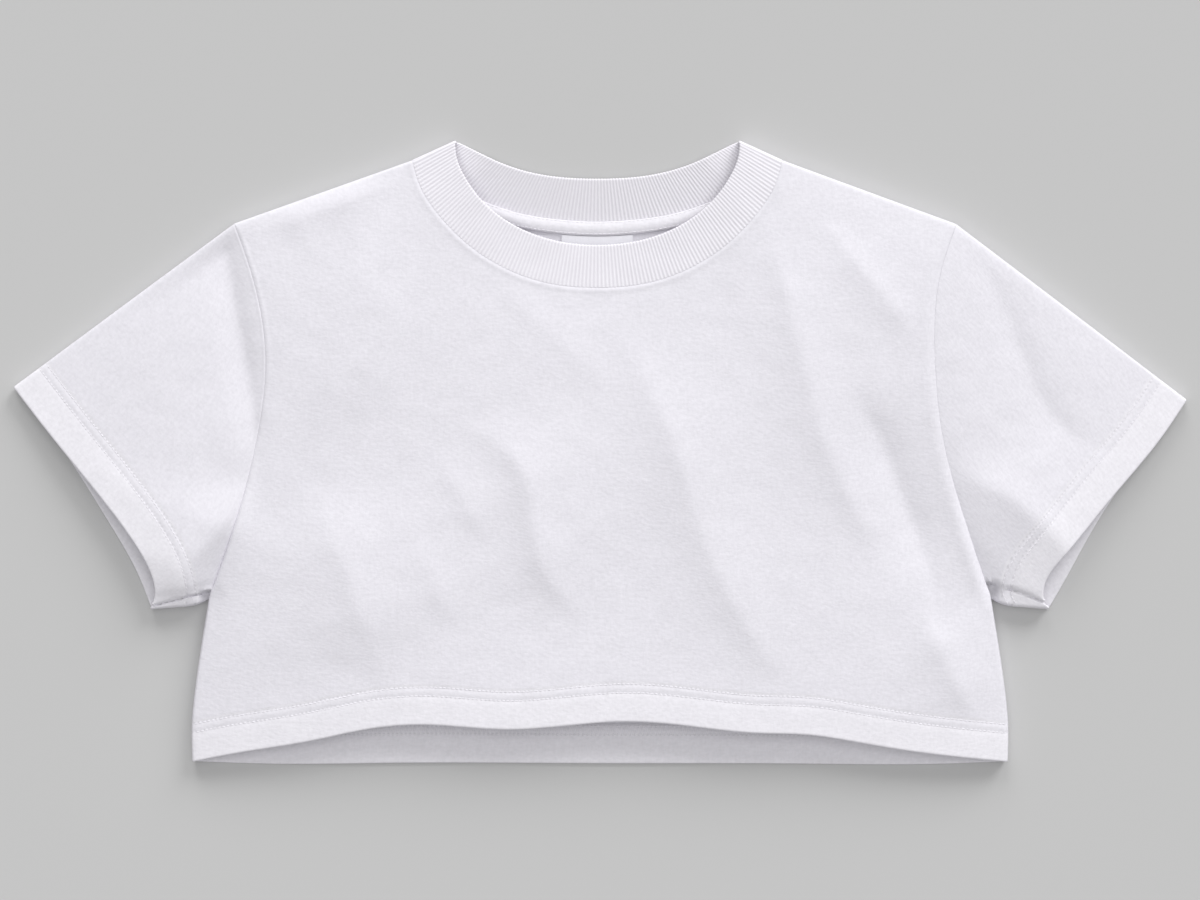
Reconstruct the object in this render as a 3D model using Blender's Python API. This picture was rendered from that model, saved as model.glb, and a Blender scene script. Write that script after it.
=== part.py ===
"""A cropped T-shirt of heavy cotton jersey, laid out on its back on a flat surface.

Each piece that is cut and sewn is its own solid: front, back, two sleeves, a ribbed neckband, the
tape over the back neck seam and the label under it. The back lies on the surface, at z = 0, and
the front stands a little proud of it, as a shirt does when it is laid out with some air inside.

All tables are in millimetres. Their x is measured from the centre line and their y up from the
back hem, and -x is the wearer's right. The finished pieces are in metres with the origin on the
surface, in the middle of the garment's outline.
"""

import math

import bpy
import numpy as np

MM = 0.001

# Sizes of the cloth, in millimetres.
JERSEY = 1.2  # wall of one layer of jersey
TURN_UP = 0.8  # what the turned-up layer adds to the wall in a hem
HEM_DEPTH = 25.0
HEM_STEP = 0.6  # distance over which the wall thins at the raw edge of a hem
RIB_WALL = 1.7  # ribbing, folded double, between its ribs
RIB_RISE = 0.35  # how far the ribs stand out from it
RIBS = {"front": 126, "back": 104}
TAPE_WALL = 1.0
TAPE_WIDTH = 9.7
TAPE_REACH = 100.0  # how far the tape runs to either side
LABEL_WALL = 1.0
LABEL_SIZE = (46.5, 24.0)
SEAM_GAP = 0.3  # pieces stand this far apart at a seam
LONGEST_RIM = 1.8  # the most that a wall's upright rim grows where the cloth slopes, as a factor

# How the garment lies.
BEND_HEIGHT = 6.5  # half the garment's thickness along each side, shoulder and sleeve edge
BEND_WIDTH = 4.0  # how far in from such an edge its bend reaches
AIR_RISE = 4.5  # how far the front rises above its edges, well away from them
AIR_REACH = 40.0  # distance from an edge over which most of that rise comes
BAND_WIDTH = 27.0  # of the neckband
BAND_LIFT = 3.0  # how far the free edge of the band stands off the surface at the back of the neck
BAND_FADE = 25.0  # it comes down to the bend at each shoulder over this distance
SPAN_HEIGHT = 401.3  # from the back hem to the corners of the neckband
NECK_CENTRE = -1.7  # the neck opening sits this far off the centre line

# Outline of the body from the hem up, one row for each bend. x is outwards on either side.
SIDE_SEAM = ((262.4, 1.5), (262.6, 26.3), (261.0, 44.3), (258.0, 66.3), (251.5, 106.5))
ARMHOLE = {
    "left": (
        (251.5, 106.5), (232.2, 160.0), (218.7, 215.4), (214.2, 255.0), (221.2, 307.7), (235.0, 347.8),
    ),
    "right": (
        (251.5, 106.5), (233.4, 159.0), (219.8, 210.0), (214.6, 262.0), (218.5, 316.0), (229.0, 347.4),
    ),
}
BACK_ARMHOLE_EASE = 5.0  # the back armhole is scooped this much less than the front one
FRONT_HEM = (
    (-262.4, 1.5), (-234.0, 7.2), (-184.5, 15.6), (-147.5, 23.3), (-112.0, 26.0), (-60.0, 23.0),
    (15.0, 28.1), (50.0, 26.0), (100.0, 20.7), (134.8, 19.3), (166.4, 14.3), (205.0, 8.0), (262.4, 1.5),
)
BACK_HEM = (
    (-262.4, 1.5), (-215.0, -0.2), (-130.0, 0.3), (0.0, 0.0), (130.0, -0.2), (215.0, -0.4), (262.4, 1.5),
)

# A line from one shoulder tip to the other, along which the upper and lower parts of a panel's mesh meet.
YOKE = (
    (-235.0, 347.8), (-190.0, 300.0), (-100.0, 266.0), (0.0, 258.0), (100.0, 266.0), (188.0, 300.0),
    (229.0, 347.4),
)

# Half outlines of the neckband, from the centre outwards. x is from NECK_CENTRE.
FRONT_NECK_SEAM = (
    (0.0, 306.2), (25.0, 307.9), (51.0, 315.0), (80.0, 331.5), (102.5, 353.8), (114.5, 373.3),
    (118.7, 388.5),
)
FRONT_NECK_TOP = (
    (0.0, 333.6), (25.0, 336.0), (49.3, 344.2), (71.2, 359.3), (85.0, 377.3), (90.6, 391.0), (91.3, 401.0),
)
BACK_NECK_SEAM = ((0.0, 349.6), (25.0, 351.0), (52.0, 355.5), (74.0, 363.1), (100.0, 376.0), (118.7, 388.5))
BACK_NECK_TOP = ((0.0, 376.7), (31.6, 378.7), (61.2, 386.6), (81.0, 396.0), (91.3, 401.0))

# Sleeve edges. x is outwards on either side, and each edge runs from the body or the top fold.
SLEEVE_BOTTOM = ((251.5, 106.5), (258.0, 103.0), (270.0, 101.0), (289.0, 99.5))
CUFF_FRONT = {
    "left": (
        (377.6, 242.7), (353.7, 212.2), (314.8, 164.5), (297.0, 140.0), (286.5, 117.8), (285.7, 109.0),
        (289.0, 99.5),
    ),
    "right": (
        (377.7, 234.5), (360.0, 209.0), (326.4, 169.0), (298.6, 135.4), (284.6, 112.0), (285.0, 106.5),
        (289.0, 99.5),
    ),
}
CUFF_BACK = {
    "left": ((377.6, 242.7), (348.3, 205.0), (318.2, 157.8), (297.0, 120.0), (289.0, 99.5)),
    "right": ((377.7, 234.5), (348.0, 196.0), (316.7, 149.0), (297.7, 114.4), (289.0, 99.5)),
}

# Low places of the front: centre, reach across and along, and how far the cloth sinks there.
HOLLOWS = (
    {"name": "neck", "x": -1.7, "y": 352.0, "across": 80.0, "along": 70.0, "sink": 5.0},
    {"name": "hem", "x": 0.0, "y": 0.0, "across": 400.0, "along": 100.0, "sink": -2.5},
    {"name": "cuff_left", "x": -330.0, "y": 165.0, "across": 60.0, "along": 75.0, "sink": 1.0},
    {"name": "cuff_right", "x": 330.0, "y": 165.0, "across": 60.0, "along": 75.0, "sink": 1.0},
)

# Soft folds of the front and sleeves: the line each runs along, how far it reaches to the left and
# right of that line, and its rise. A fold has a soft crest and hollow flanks, and fades to its ends.
FOLDS = (
    {"name": "chest_long", "left": 38.0, "right": 22.0, "rise": 4.8,
     "line": ((8, 284), (29, 246), (46, 216), (57, 183), (64, 150), (77, 115), (97, 77), (120, 44))},
    {"name": "chest_middle", "left": 30.0, "right": 14.0, "rise": 3.6,
     "line": ((-93, 220), (-66, 208), (-50, 189), (-43, 160), (-36, 128), (-12, 94))},
    {"name": "chest_short", "left": 12.0, "right": 8.0, "rise": 1.6,
     "line": ((-106, 206), (-90, 174), (-70, 142))},
    {"name": "chest_faint", "left": 12.0, "right": 8.0, "rise": 1.1,
     "line": ((-120, 152), (-106, 118), (-92, 84))},
    {"name": "neck_front", "left": 12.0, "right": 10.0, "rise": 1.1,
     "line": ((-66, 308), (-26, 270), (16, 230))},
    {"name": "belly_left", "left": 26.0, "right": 40.0, "rise": 4.0,
     "line": ((-180, 176), (-172, 154), (-162, 131), (-151, 104), (-144, 76), (-141, 44))},
    {"name": "shoulder_left", "left": 7.0, "right": 12.0, "rise": 2.8,
     "line": ((-225, 340), (-174, 359), (-132, 370))},
    {"name": "drape_left", "left": 14.0, "right": 14.0, "rise": 1.5,
     "line": ((-132, 360), (-150, 318), (-164, 280), (-176, 234), (-190, 190))},
    {"name": "drape_faint", "left": 10.0, "right": 10.0, "rise": 1.0,
     "line": ((-118, 330), (-140, 270), (-156, 205))},
    {"name": "neck_right", "left": 20.0, "right": 16.0, "rise": 4.4,
     "line": ((100, 362), (109, 337), (119, 304), (126, 281), (132, 248), (147, 199), (172, 150))},
    {"name": "shoulder_right", "left": 9.0, "right": 13.0, "rise": 2.6,
     "line": ((138, 352), (150, 340), (166, 319), (184, 298), (206, 264))},
    {"name": "armhole_right", "left": 9.0, "right": 20.0, "rise": -3.8,
     "line": ((160, 250), (168, 231), (180, 207), (190, 182), (200, 157), (210, 128), (220, 96))},
    {"name": "corner_right", "left": 14.0, "right": 11.0, "rise": 2.8,
     "line": ((204, 102), (218, 74), (231, 47), (244, 24))},
    {"name": "sleeve_head_left", "left": 9.0, "right": 7.0, "rise": -4.0,
     "line": ((-243, 348), (-240, 330), (-234, 290), (-228, 258), (-224, 232), (-224, 205))},
    {"name": "sleeve_left", "left": 12.0, "right": 14.0, "rise": 1.8,
     "line": ((-254, 330), (-251, 308), (-247, 271), (-241, 238), (-233, 205), (-228, 180))},
    {"name": "sleeve_right", "left": 32.0, "right": 12.0, "rise": 2.8,
     "line": ((252, 332), (262, 313), (278, 286), (294, 254), (313, 231), (342, 214))},
    {"name": "underarm_right", "left": 20.0, "right": 34.0, "rise": 3.8,
     "line": ((205, 204), (228, 190), (245, 182), (270, 173), (297, 163), (345, 144))},
    {"name": "underarm_left", "left": 9.0, "right": 34.0, "rise": 3.6,
     "line": ((-222, 186), (-233, 166), (-245, 148), (-262, 132), (-290, 119), (-330, 108))},
)
FOLD_CREST = 4.0  # over which a crest is rounded
FOLD_ENDS = 0.32  # share of a fold's length over which it rises and widens, at each end
FOLD_EDGE = 18.0  # folds come down to a bent edge over this distance
FOLD_TIP = 0.35  # a fold's reach at its tips, as a share of the whole

# How far the cloth drops to the armhole seam, as a share of its height, and over what widths, from
# the shoulder down to the underarm.
ARMHOLE_ROLL = {
    "along": (0.0, 0.35, 0.6, 0.8, 0.92, 1.0),
    "left": (0.07, 0.10, 0.13, 0.32, 0.55, 0.6),
    "right": (0.03, 0.04, 0.08, 0.28, 0.52, 0.6),
    "sleeve_width": (5.0, 6.0, 7.0, 9.0, 12.0, 14.0),
}
ROLL_WIDTH = {"left": 3.5, "right": 6.0}  # on the body side of the seam
ROLL_FADE = 10.0  # the roll fades out this close to a bent edge

# Mesh density.
BEND_ANGLES = (0.0, 15.0, 35.0, 55.0, 75.0, 90.0)  # where the bend of a fold is sampled, in degrees
DENSE = 160  # samples along each edge of a patch before it is resampled
GAPS = {  # spaces between the points of a panel along each of its edges, without the bends
    "front": {"neck": 30, "shoulder": 6, "side": 6, "armhole": 15},
    "back": {"neck": 18, "shoulder": 3, "side": 2, "armhole": 6},
}
CUFF_GAPS = 7  # from the armhole to the cuff's hem

WHITE_JERSEY = (0.86, 0.855, 0.88, 1.0)
WHITE_RIB = (0.84, 0.835, 0.86, 1.0)
WHITE_LABEL = (0.88, 0.88, 0.89, 1.0)


def spline(points, count=DENSE):
    """A natural cubic through the points, sampled evenly along its length."""
    points = np.array(points, float)
    knots = np.concatenate([[0.0], np.cumsum(np.linalg.norm(np.diff(points, axis=0), axis=1))])
    steps = np.diff(knots)
    size = len(points)
    matrix = np.eye(size)
    right = np.zeros((size, 2))
    for i in range(1, size - 1):
        matrix[i, i - 1:i + 2] = steps[i - 1], 2 * (steps[i - 1] + steps[i]), steps[i]
        slopes = np.diff(points[i - 1:i + 2], axis=0) / steps[i - 1:i + 1, None]
        right[i] = 6 * (slopes[1] - slopes[0])
    bend = np.linalg.solve(matrix, right)
    at = np.linspace(0.0, knots[-1], 8 * count)
    i = np.clip(np.searchsorted(knots, at) - 1, 0, size - 2)
    a = ((knots[i + 1] - at) / steps[i])[:, None]
    b = 1.0 - a
    curve = a * points[i] + b * points[i + 1]
    curve += ((a ** 3 - a) * bend[i] + (b ** 3 - b) * bend[i + 1]) * (steps[i] ** 2)[:, None] / 6
    return along(curve, np.linspace(0.0, 1.0, count) * length_of(curve))


def length_of(line):
    return np.linalg.norm(np.diff(line, axis=0), axis=1).sum()


def along(line, distances):
    """Points at these distances along a line of points."""
    run = np.concatenate([[0.0], np.cumsum(np.linalg.norm(np.diff(line, axis=0), axis=1))])
    return np.stack([np.interp(distances, run, line[:, k]) for k in range(line.shape[1])], axis=1)


def stations(length, start, end, gaps, extra=()):
    """Distances along a line: fixed ones near each end, and even gaps between them.

    extra adds some within the last gap, measured back from the end.
    """
    middle = np.linspace(start[-1], length - end[-1], gaps + 1)
    last = length - np.array([*extra, *end[:-1]])
    return np.sort(np.concatenate([start[:-1], middle, last]))


def bend_steps():
    """Distances from a bent edge at which its bend is sampled."""
    return [BEND_WIDTH * (1.0 - math.cos(math.radians(angle))) for angle in BEND_ANGLES]


def joined(*lines):
    """Lines that follow each other, as one."""
    return np.concatenate([lines[0]] + [line[1:] for line in lines[1:]])


def placed(points, side):
    """A one-sided table on the wearer's right (-x) or left (+x), as seen from the front."""
    return np.array(points, float) * ((-1.0 if side == "left" else 1.0), 1.0)


def mirrored(half, centre):
    """A whole edge, from -x to +x, from its half outline."""
    right = np.array(half, float)
    left = right[:0:-1] * (-1.0, 1.0)
    return np.concatenate([left, right]) + (centre, 0.0)


def nearest(points, line):
    """(distance to a line of points, share of its length at the nearest place) for each point.

    The distance is positive to the right of the line and negative to its left.
    """
    start, step = line[:-1], np.diff(line, axis=0)
    square = (step ** 2).sum(axis=1)
    offset = points[:, None, :] - start[None]
    share = np.clip((offset * step[None]).sum(axis=2) / square, 0.0, 1.0)
    gaps = np.linalg.norm(offset - share[..., None] * step[None], axis=2)
    best = gaps.argmin(axis=1)
    rows = np.arange(len(points))
    share = share[rows, best]
    right = np.column_stack([step[:, 1], -step[:, 0]]) / np.sqrt(square)[:, None]
    ahead = np.where(share >= 1.0, np.minimum(best + 1, len(right) - 1), best)
    behind = np.where(share <= 0.0, np.maximum(best - 1, 0), best)
    away = points - start[best] - share[:, None] * step[best]
    turn = (away * (right[ahead] + right[behind])).sum(axis=1)
    run = np.concatenate([[0.0], np.cumsum(np.sqrt(square))])
    reached = run[best] + share * np.sqrt(square[best])
    return np.where(turn < 0.0, -1.0, 1.0) * gaps[rows, best], reached / run[-1]


def slope(field, points, step=0.02):
    """Gradient of a field over the plan."""
    return np.stack([
        (field(points + np.array(move)) - field(points - np.array(move))) / (2 * step)
        for move in ((step, 0.0), (0.0, step))
    ], axis=1)


def neck_point(side):
    """Where the shoulder seam meets the neckband."""
    x, y = FRONT_NECK_SEAM[-1]
    return np.array([NECK_CENTRE + (-x if side == "left" else x), y])


def neck_corner(side):
    """The neckband's fold, at its free edge."""
    x, y = FRONT_NECK_TOP[-1]
    return np.array([NECK_CENTRE + (-x if side == "left" else x), y])


def shared(curve, start, end, gaps):
    """A seam as the straight runs that both of its pieces follow, closely sampled."""
    runs = along(curve, stations(length_of(curve), start, end, gaps))
    return along(runs, np.linspace(0.0, length_of(runs), len(curve)))


def armhole(side, layer):
    """The armhole from the underarm up to the shoulder."""
    curve = spline(placed(ARMHOLE[side], side))
    if layer == "back":
        ease = -BACK_ARMHOLE_EASE if side == "left" else BACK_ARMHOLE_EASE
        curve[:, 0] += ease * np.sin(np.linspace(0.0, math.pi, len(curve))) ** 2
    return shared(curve, [0.0], bend_steps(), GAPS[layer]["armhole"])


def neck_seam(layer, count):
    """The seam between one panel and the neckband, from -x to +x."""
    half = FRONT_NECK_SEAM if layer == "front" else BACK_NECK_SEAM
    return shared(spline(mirrored(half, NECK_CENTRE), count), bend_steps(), bend_steps(), GAPS[layer]["neck"])


def edge_lines(piece):
    """The bent edges of the garment as one piece meets them, with the garment to the right of each.

    A straight edge of the piece's own runs on past its shoulder tip.
    """
    lines = []
    for side in ("left", "right"):
        turn = 1 if side == "left" else -1
        tip, cuff = placed(ARMHOLE[side], side)[-1], placed(CUFF_FRONT[side], side)[0]
        shoulder = [neck_point(side), neck_corner(side)]
        whole = {
            "all": [cuff, tip, *shoulder],
            "body": [tip + (tip - shoulder[0]), *shoulder],
            "sleeve": [cuff, tip + (tip - cuff) * 0.4],
        }
        lines.append(np.array(whole[piece])[::turn])
        under = joined(spline(placed(SIDE_SEAM, side)), spline(placed(SLEEVE_BOTTOM, side)))
        lines.append(under[::turn])
    return lines


EDGES = {piece: edge_lines(piece) for piece in ("all", "body", "sleeve")}
ARMHOLE_LINES = {side: armhole(side, "front")[::-1] for side in ("left", "right")}
BACK_NECK_LINE = neck_seam("back", DENSE)
FOLD_LINES = [spline(fold["line"], 24) for fold in FOLDS]


def edge_distance(points, piece="all"):
    """Distance to the bent edges, smooth where two of them are equally near."""
    gaps = np.stack([np.abs(nearest(points, line)[0]) for line in EDGES[piece]])
    return (np.maximum(gaps, 1e-6) ** -4.0).sum(axis=0) ** -0.25


def inwards_from_edge(points, piece):
    """Level direction into the garment from the bent edge that each point lies on."""
    gaps = np.stack([np.abs(nearest(points, line)[0]) for line in EDGES[piece]])
    found = np.zeros((len(points), 2))
    for index, line in enumerate(EDGES[piece]):
        mine = gaps.argmin(axis=0) == index
        if mine.any():
            found[mine] = slope(lambda at: nearest(at, line)[0], points[mine])
    return found


def bend_height(points, piece, gap):
    """Height above or below the seam level in the bend, from 0 at the edge to BEND_HEIGHT."""
    inset = 1.0 - np.minimum(edge_distance(points, piece) / BEND_WIDTH, 1.0)
    start = gap / 2 / BEND_HEIGHT
    return BEND_HEIGHT * np.sqrt(start ** 2 + (1.0 - start ** 2) * (1.0 - inset ** 2))


def fold_rise(points, fold, line):
    """Height that one fold adds."""
    distance, share = nearest(points, line)
    ends = np.clip(np.minimum(share, 1.0 - share) / FOLD_ENDS, 0.0, 1.0)
    ends = ends * ends * (3.0 - 2.0 * ends)
    reach = np.where(distance > 0.0, fold["right"], fold["left"]) * (FOLD_TIP + (1.0 - FOLD_TIP) * ends)
    away = np.sqrt(distance ** 2 + FOLD_CREST ** 2) - FOLD_CREST
    return fold["rise"] * np.exp(-away / reach) * ends


def upper_height(points, piece="body", gap=0.0):
    """Height of the upper layer's outer face over the surface."""
    distance = edge_distance(points)
    room = 1.0 - np.exp(-distance / AIR_REACH)
    rise = AIR_RISE * room
    for hollow in HOLLOWS:
        reach = ((points[:, 0] - hollow["x"]) / hollow["across"]) ** 2
        reach += ((points[:, 1] - hollow["y"]) / hollow["along"]) ** 2
        rise -= hollow["sink"] * np.exp(-reach) * room
    near_edge = np.minimum(distance / FOLD_EDGE, 1.0)
    for fold, line in zip(FOLDS, FOLD_LINES):
        rise += fold_rise(points, fold, line) * near_edge
    return BEND_HEIGHT + bend_height(points, piece, gap) + rise


def lower_height(points, piece="body", gap=0.0):
    """Height of the lower layer's outer face, which is the surface itself away from the edges."""
    return BEND_HEIGHT - bend_height(points, piece, gap)


def armhole_roll(points, side, on_sleeve):
    """Share of its height by which the cloth drops near the armhole seam of one side."""
    distance, share = nearest(points, ARMHOLE_LINES[side])
    if (side == "left") != on_sleeve:
        distance = -distance
    fade = np.clip(edge_distance(points) / ROLL_FADE, 0.0, 1.0)
    drop = np.interp(share, ARMHOLE_ROLL["along"], ARMHOLE_ROLL[side]) * fade ** 2 * (3.0 - 2.0 * fade)
    if on_sleeve:
        width = np.interp(share, ARMHOLE_ROLL["along"], ARMHOLE_ROLL["sleeve_width"])
        return drop * np.exp(-distance / width)
    return drop * np.clip(1.0 - distance / ROLL_WIDTH[side], 0.0, 1.2) ** 2


def front_height(points):
    height = upper_height(points, gap=SEAM_GAP)
    for side in ("left", "right"):
        height -= armhole_roll(points, side, False) * (height - BEND_HEIGHT)
    return height


def back_height(points):
    return lower_height(points, gap=SEAM_GAP)


def sleeve_height(side):
    def height(points):
        raised = upper_height(points, "sleeve")
        return raised - armhole_roll(points, side, True) * (raised - BEND_HEIGHT)
    return height


def sleeve_underside(points):
    return lower_height(points, "sleeve")


def back_band_height(points):
    """The back of the neckband, whose free edge stands up a little."""
    away = np.abs(nearest(points, BACK_NECK_LINE)[0]) / BAND_WIDTH
    fade = np.clip(edge_distance(points) / BAND_FADE, 0.0, 1.0)
    return lower_height(points) + BAND_LIFT * away * fade


def patch(bottom, top, left, right):
    """A dense grid of points filling four edges. Rows run from bottom to top."""
    u = np.linspace(0.0, 1.0, len(bottom))[None, :, None]
    v = np.linspace(0.0, 1.0, len(left))[:, None, None]
    across = (1 - u) * left[:, None] + u * right[:, None]
    up = (1 - v) * bottom[None] + v * top[None]
    corners = (1 - v) * ((1 - u) * bottom[0] + u * bottom[-1]) + v * ((1 - u) * top[0] + u * top[-1])
    return across + up - corners


def regrid(dense, column_groups, row_groups):
    """Resamples a dense grid. A group is (share of the grid where it ends, *stations)."""
    def resample(lines, groups):
        made = []
        first = 0
        for share, *steps in groups:
            last = round(share * (lines.shape[1] - 1))
            block = [
                along(line[first:last + 1], stations(length_of(line[first:last + 1]), *steps))
                for line in lines
            ]
            made.append(np.array(block)[:, (1 if made else 0):])
            first = last
        return np.concatenate(made, axis=1)

    rows = resample(dense, column_groups)
    return resample(rows.swapaxes(0, 1), row_groups).swapaxes(0, 1)


def surface(plan, height, upper=True, piece="body"):
    """(points, outward directions) of a grid over the plan, in metres in the finished frame."""
    flat = plan.reshape(-1, 2)
    points = np.column_stack([flat[:, 0], flat[:, 1] - SPAN_HEIGHT / 2, height(flat)]) * MM
    normals = np.column_stack([-slope(height, flat), np.ones(len(flat))]) * (1.0 if upper else -1.0)
    seam = edge_distance(flat, piece) < 0.01
    towards = flat.mean(axis=0) - flat[seam]
    towards /= np.linalg.norm(towards, axis=1)[:, None]
    normals[seam, :2] = -inwards_from_edge(flat[seam] + towards * 0.03, piece)
    normals[seam, 2] = 0.0
    normals /= np.linalg.norm(normals, axis=1)[:, None]
    return np.stack([points, normals]).reshape(2, *plan.shape[:2], 3)


def upright(faces_of, *edge):
    """Turns the directions along one edge of a surface into the upright plane of its seam."""
    points, directions = (part[edge] for part in faces_of)
    across = np.gradient(points[:, :2], axis=0)[:, ::-1] * (1.0, -1.0)
    across /= np.linalg.norm(across, axis=1)[:, None]
    turned = directions.copy()
    turned[:, :2] -= (directions[:, :2] * across).sum(axis=1)[:, None] * across
    size = np.linalg.norm(turned, axis=1)[:, None]
    faces_of[1][edge] = turned / size * np.minimum(1.0 / size, LONGEST_RIM)


def cloth(name, faces_of, wall, material, closed=False, relief=0.0):
    """A wall of cloth whose outer face runs through a grid of points, with its thickness inwards.

    faces_of is (points, normals). wall and relief are in millimetres, each one value or one for
    each point. relief stands out from the outer face. A closed grid ends on its first column.
    """
    points, normals = faces_of
    columns = points.shape[1] - (1 if closed else 0)
    points, normals = points[:, :columns], normals[:, :columns] * MM
    inner = points - normals * np.broadcast_to(wall, faces_of[0].shape[:2])[:, :columns, None]
    outer = points + normals * np.broadcast_to(relief, faces_of[0].shape[:2])[:, :columns, None]
    grid = np.stack([outer, inner])
    grid[..., 2] = np.maximum(grid[..., 2], 0.0)
    rows = len(points)

    def at(face, row, column):
        return (face * rows + row) * columns + column % columns

    quads = []
    spans = columns if closed else columns - 1
    for column in range(spans):
        for row in range(rows - 1):
            corners = ((row, column), (row, column + 1), (row + 1, column + 1), (row + 1, column))
            quads.append([at(0, *corner) for corner in corners])
            quads.append([at(1, *corner) for corner in corners[::-1]])
        for row, turn in ((0, 1), (rows - 1, -1)):
            rim = [at(0, row, column + 1), at(0, row, column), at(1, row, column), at(1, row, column + 1)]
            quads.append(rim[::turn])
    for column, turn in () if closed else ((0, -1), (columns - 1, 1)):
        for row in range(rows - 1):
            rim = [at(0, row + 1, column), at(0, row, column), at(1, row, column), at(1, row + 1, column)]
            quads.append(rim[::turn])
    mesh = bpy.data.meshes.new(name)
    mesh.from_pydata([tuple(point) for point in grid.reshape(-1, 3)], [], quads)
    mesh.materials.append(material)
    mesh.shade_smooth()
    piece = bpy.data.objects.new(name, mesh)
    PIECES.objects.link(piece)
    return piece


def hem_wall(shape, rows):
    """Wall thickness over a grid, thicker in the rows of the hem."""
    wall = np.full(shape, JERSEY)
    wall[rows] += TURN_UP
    return wall


def ring_of(upper, lower):
    """An upper and a lower layer, joined at both bent edges into a closed grid."""
    return np.concatenate([upper, lower[:, :, -2::-1]], axis=2)


def finish(name, colour, roughness):
    material = bpy.data.materials.new(name)
    material.use_nodes = True
    shader = material.node_tree.nodes["Principled BSDF"]
    shader.inputs["Base Color"].default_value = colour
    shader.inputs["Roughness"].default_value = roughness
    shader.inputs["Metallic"].default_value = 0.0
    return material


def body_panel(name, layer, hem, height):
    """Front or back of the body."""
    sides = ("left", "right")
    count = 2 * DENSE
    flanks = [joined(spline(placed(SIDE_SEAM, side)), armhole(side, layer)) for side in sides]
    shoulders = [np.linspace(placed(ARMHOLE[side], side)[-1], neck_point(side), DENSE) for side in sides]
    yoke = spline(YOKE, count)
    lower = patch(spline(hem, count), yoke, *flanks)
    dense = np.concatenate([lower, patch(yoke, neck_seam(layer, count), *shoulders)[1:]])
    bend = bend_steps()
    gaps = GAPS[layer]
    hem_rows = [0.0, HEM_DEPTH / 2, HEM_DEPTH, HEM_DEPTH + HEM_STEP]
    rows = [
        (1 / 3, hem_rows, [0.0], gaps["side"]),
        (2 / 3, [0.0], bend, gaps["armhole"]),
        (1.0, [0.0], [0.0], gaps["shoulder"]),
    ]
    plan = regrid(dense, [(1.0, bend, bend, gaps["neck"])], rows)
    if layer == "back":
        plan = plan[:, ::-1]
    faces_of = surface(plan, height, layer == "front")
    underarm = len(hem_rows) - 1 + gaps["side"]
    tip = underarm + gaps["armhole"] + len(bend) - 1
    for column in (0, -1):
        upright(faces_of, slice(underarm + 1, tip), column)
    wall = hem_wall(plan.shape[:2], slice(0, 3))
    return cloth(name, faces_of, wall, JERSEY_FINISH)


def sleeve(side):
    """One sleeve: a tube from the armhole to the cuff, laid flat."""
    bend = bend_steps()
    layers = []
    tip = placed(ARMHOLE[side], side)[-1]
    for layer, cuff in (("front", CUFF_FRONT), ("back", CUFF_BACK)):
        cuff_edge = spline(placed(cuff[side], side))
        top_fold = np.linspace(tip, cuff_edge[0], DENSE)
        bottom_fold = spline(placed(SLEEVE_BOTTOM, side))
        dense = patch(armhole(side, layer)[::-1], cuff_edge, top_fold, bottom_fold)
        columns = (1.0, bend, [0.0], GAPS[layer]["armhole"], bend[1:])
        rows = (1.0, [SEAM_GAP, 3.0], [0.0, HEM_DEPTH / 2, HEM_DEPTH, HEM_DEPTH + HEM_STEP], CUFF_GAPS)
        layers.append(regrid(dense, [columns], [rows]))
    upper = surface(layers[0], sleeve_height(side), True, "sleeve")
    lower = surface(layers[1], sleeve_underside, False, "sleeve")
    for half in (upper, lower):
        upright(half, 0, slice(None))
    ring = ring_of(upper, lower)
    if side == "left":
        ring = ring[:, :, ::-1]
    wall = hem_wall(ring.shape[1:3], slice(-3, None))
    return cloth(f"sleeve_{side}", ring, wall, JERSEY_FINISH, closed=True)


def evenly(faces_of, count):
    """A surface with its rows sampled evenly along their length."""
    made = [[], []]
    for points, normals in zip(*faces_of):
        run = np.concatenate([[0.0], np.cumsum(np.linalg.norm(np.diff(points, axis=0), axis=1))])
        at = np.linspace(0.0, run[-1], count + 1)
        for kept, values in zip(made, (points, normals)):
            kept.append(np.stack([np.interp(at, run, values[:, k]) for k in range(3)], axis=1))
    return np.array(made)


def neckband():
    """The ribbed band: a ring folded flat at both shoulders, plain inside and ribbed outside."""
    folds = [np.linspace(neck_point(side), neck_corner(side), DENSE) for side in ("left", "right")]
    bend = bend_steps()
    layers = []
    halves = (("front", FRONT_NECK_TOP, upper_height), ("back", BACK_NECK_TOP, back_band_height))
    for layer, top, height in halves:
        top_edge = spline(mirrored(top, NECK_CENTRE), 4 * DENSE)
        dense = patch(neck_seam(layer, 4 * DENSE), top_edge, *folds)
        plan = regrid(dense, [(1.0, bend, bend, 4 * DENSE)], [(1.0, [SEAM_GAP], [0.0], 2)])
        layers.append(evenly(surface(plan, height, layer == "front"), 2 * RIBS[layer]))
    ring = ring_of(*layers)
    relief = np.zeros(ring.shape[1:3])
    relief[:, 1::2] = RIB_RISE
    return cloth("neck_rib", ring, RIB_WALL, RIB_FINISH, closed=True, relief=relief)


def below_back_seam(reach, depth, count):
    """Plan points along the back neck seam, moved down from it, at most reach from its middle."""
    seam = spline(mirrored(BACK_NECK_SEAM, NECK_CENTRE), 4 * DENSE)
    across = np.gradient(seam, axis=0)[:, ::-1] * (1.0, -1.0)
    moved = seam + across / np.linalg.norm(across, axis=1)[:, None] * depth
    moved = moved[np.abs(moved[:, 0] - NECK_CENTRE) <= reach]
    return along(moved, np.linspace(0.0, length_of(moved), count))


def on_back(plan, wall):
    """Plan points at the height of the outer face of what lies on the inside of the back."""
    return surface(plan, lambda points: np.full(len(points), JERSEY + SEAM_GAP + wall))


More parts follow.
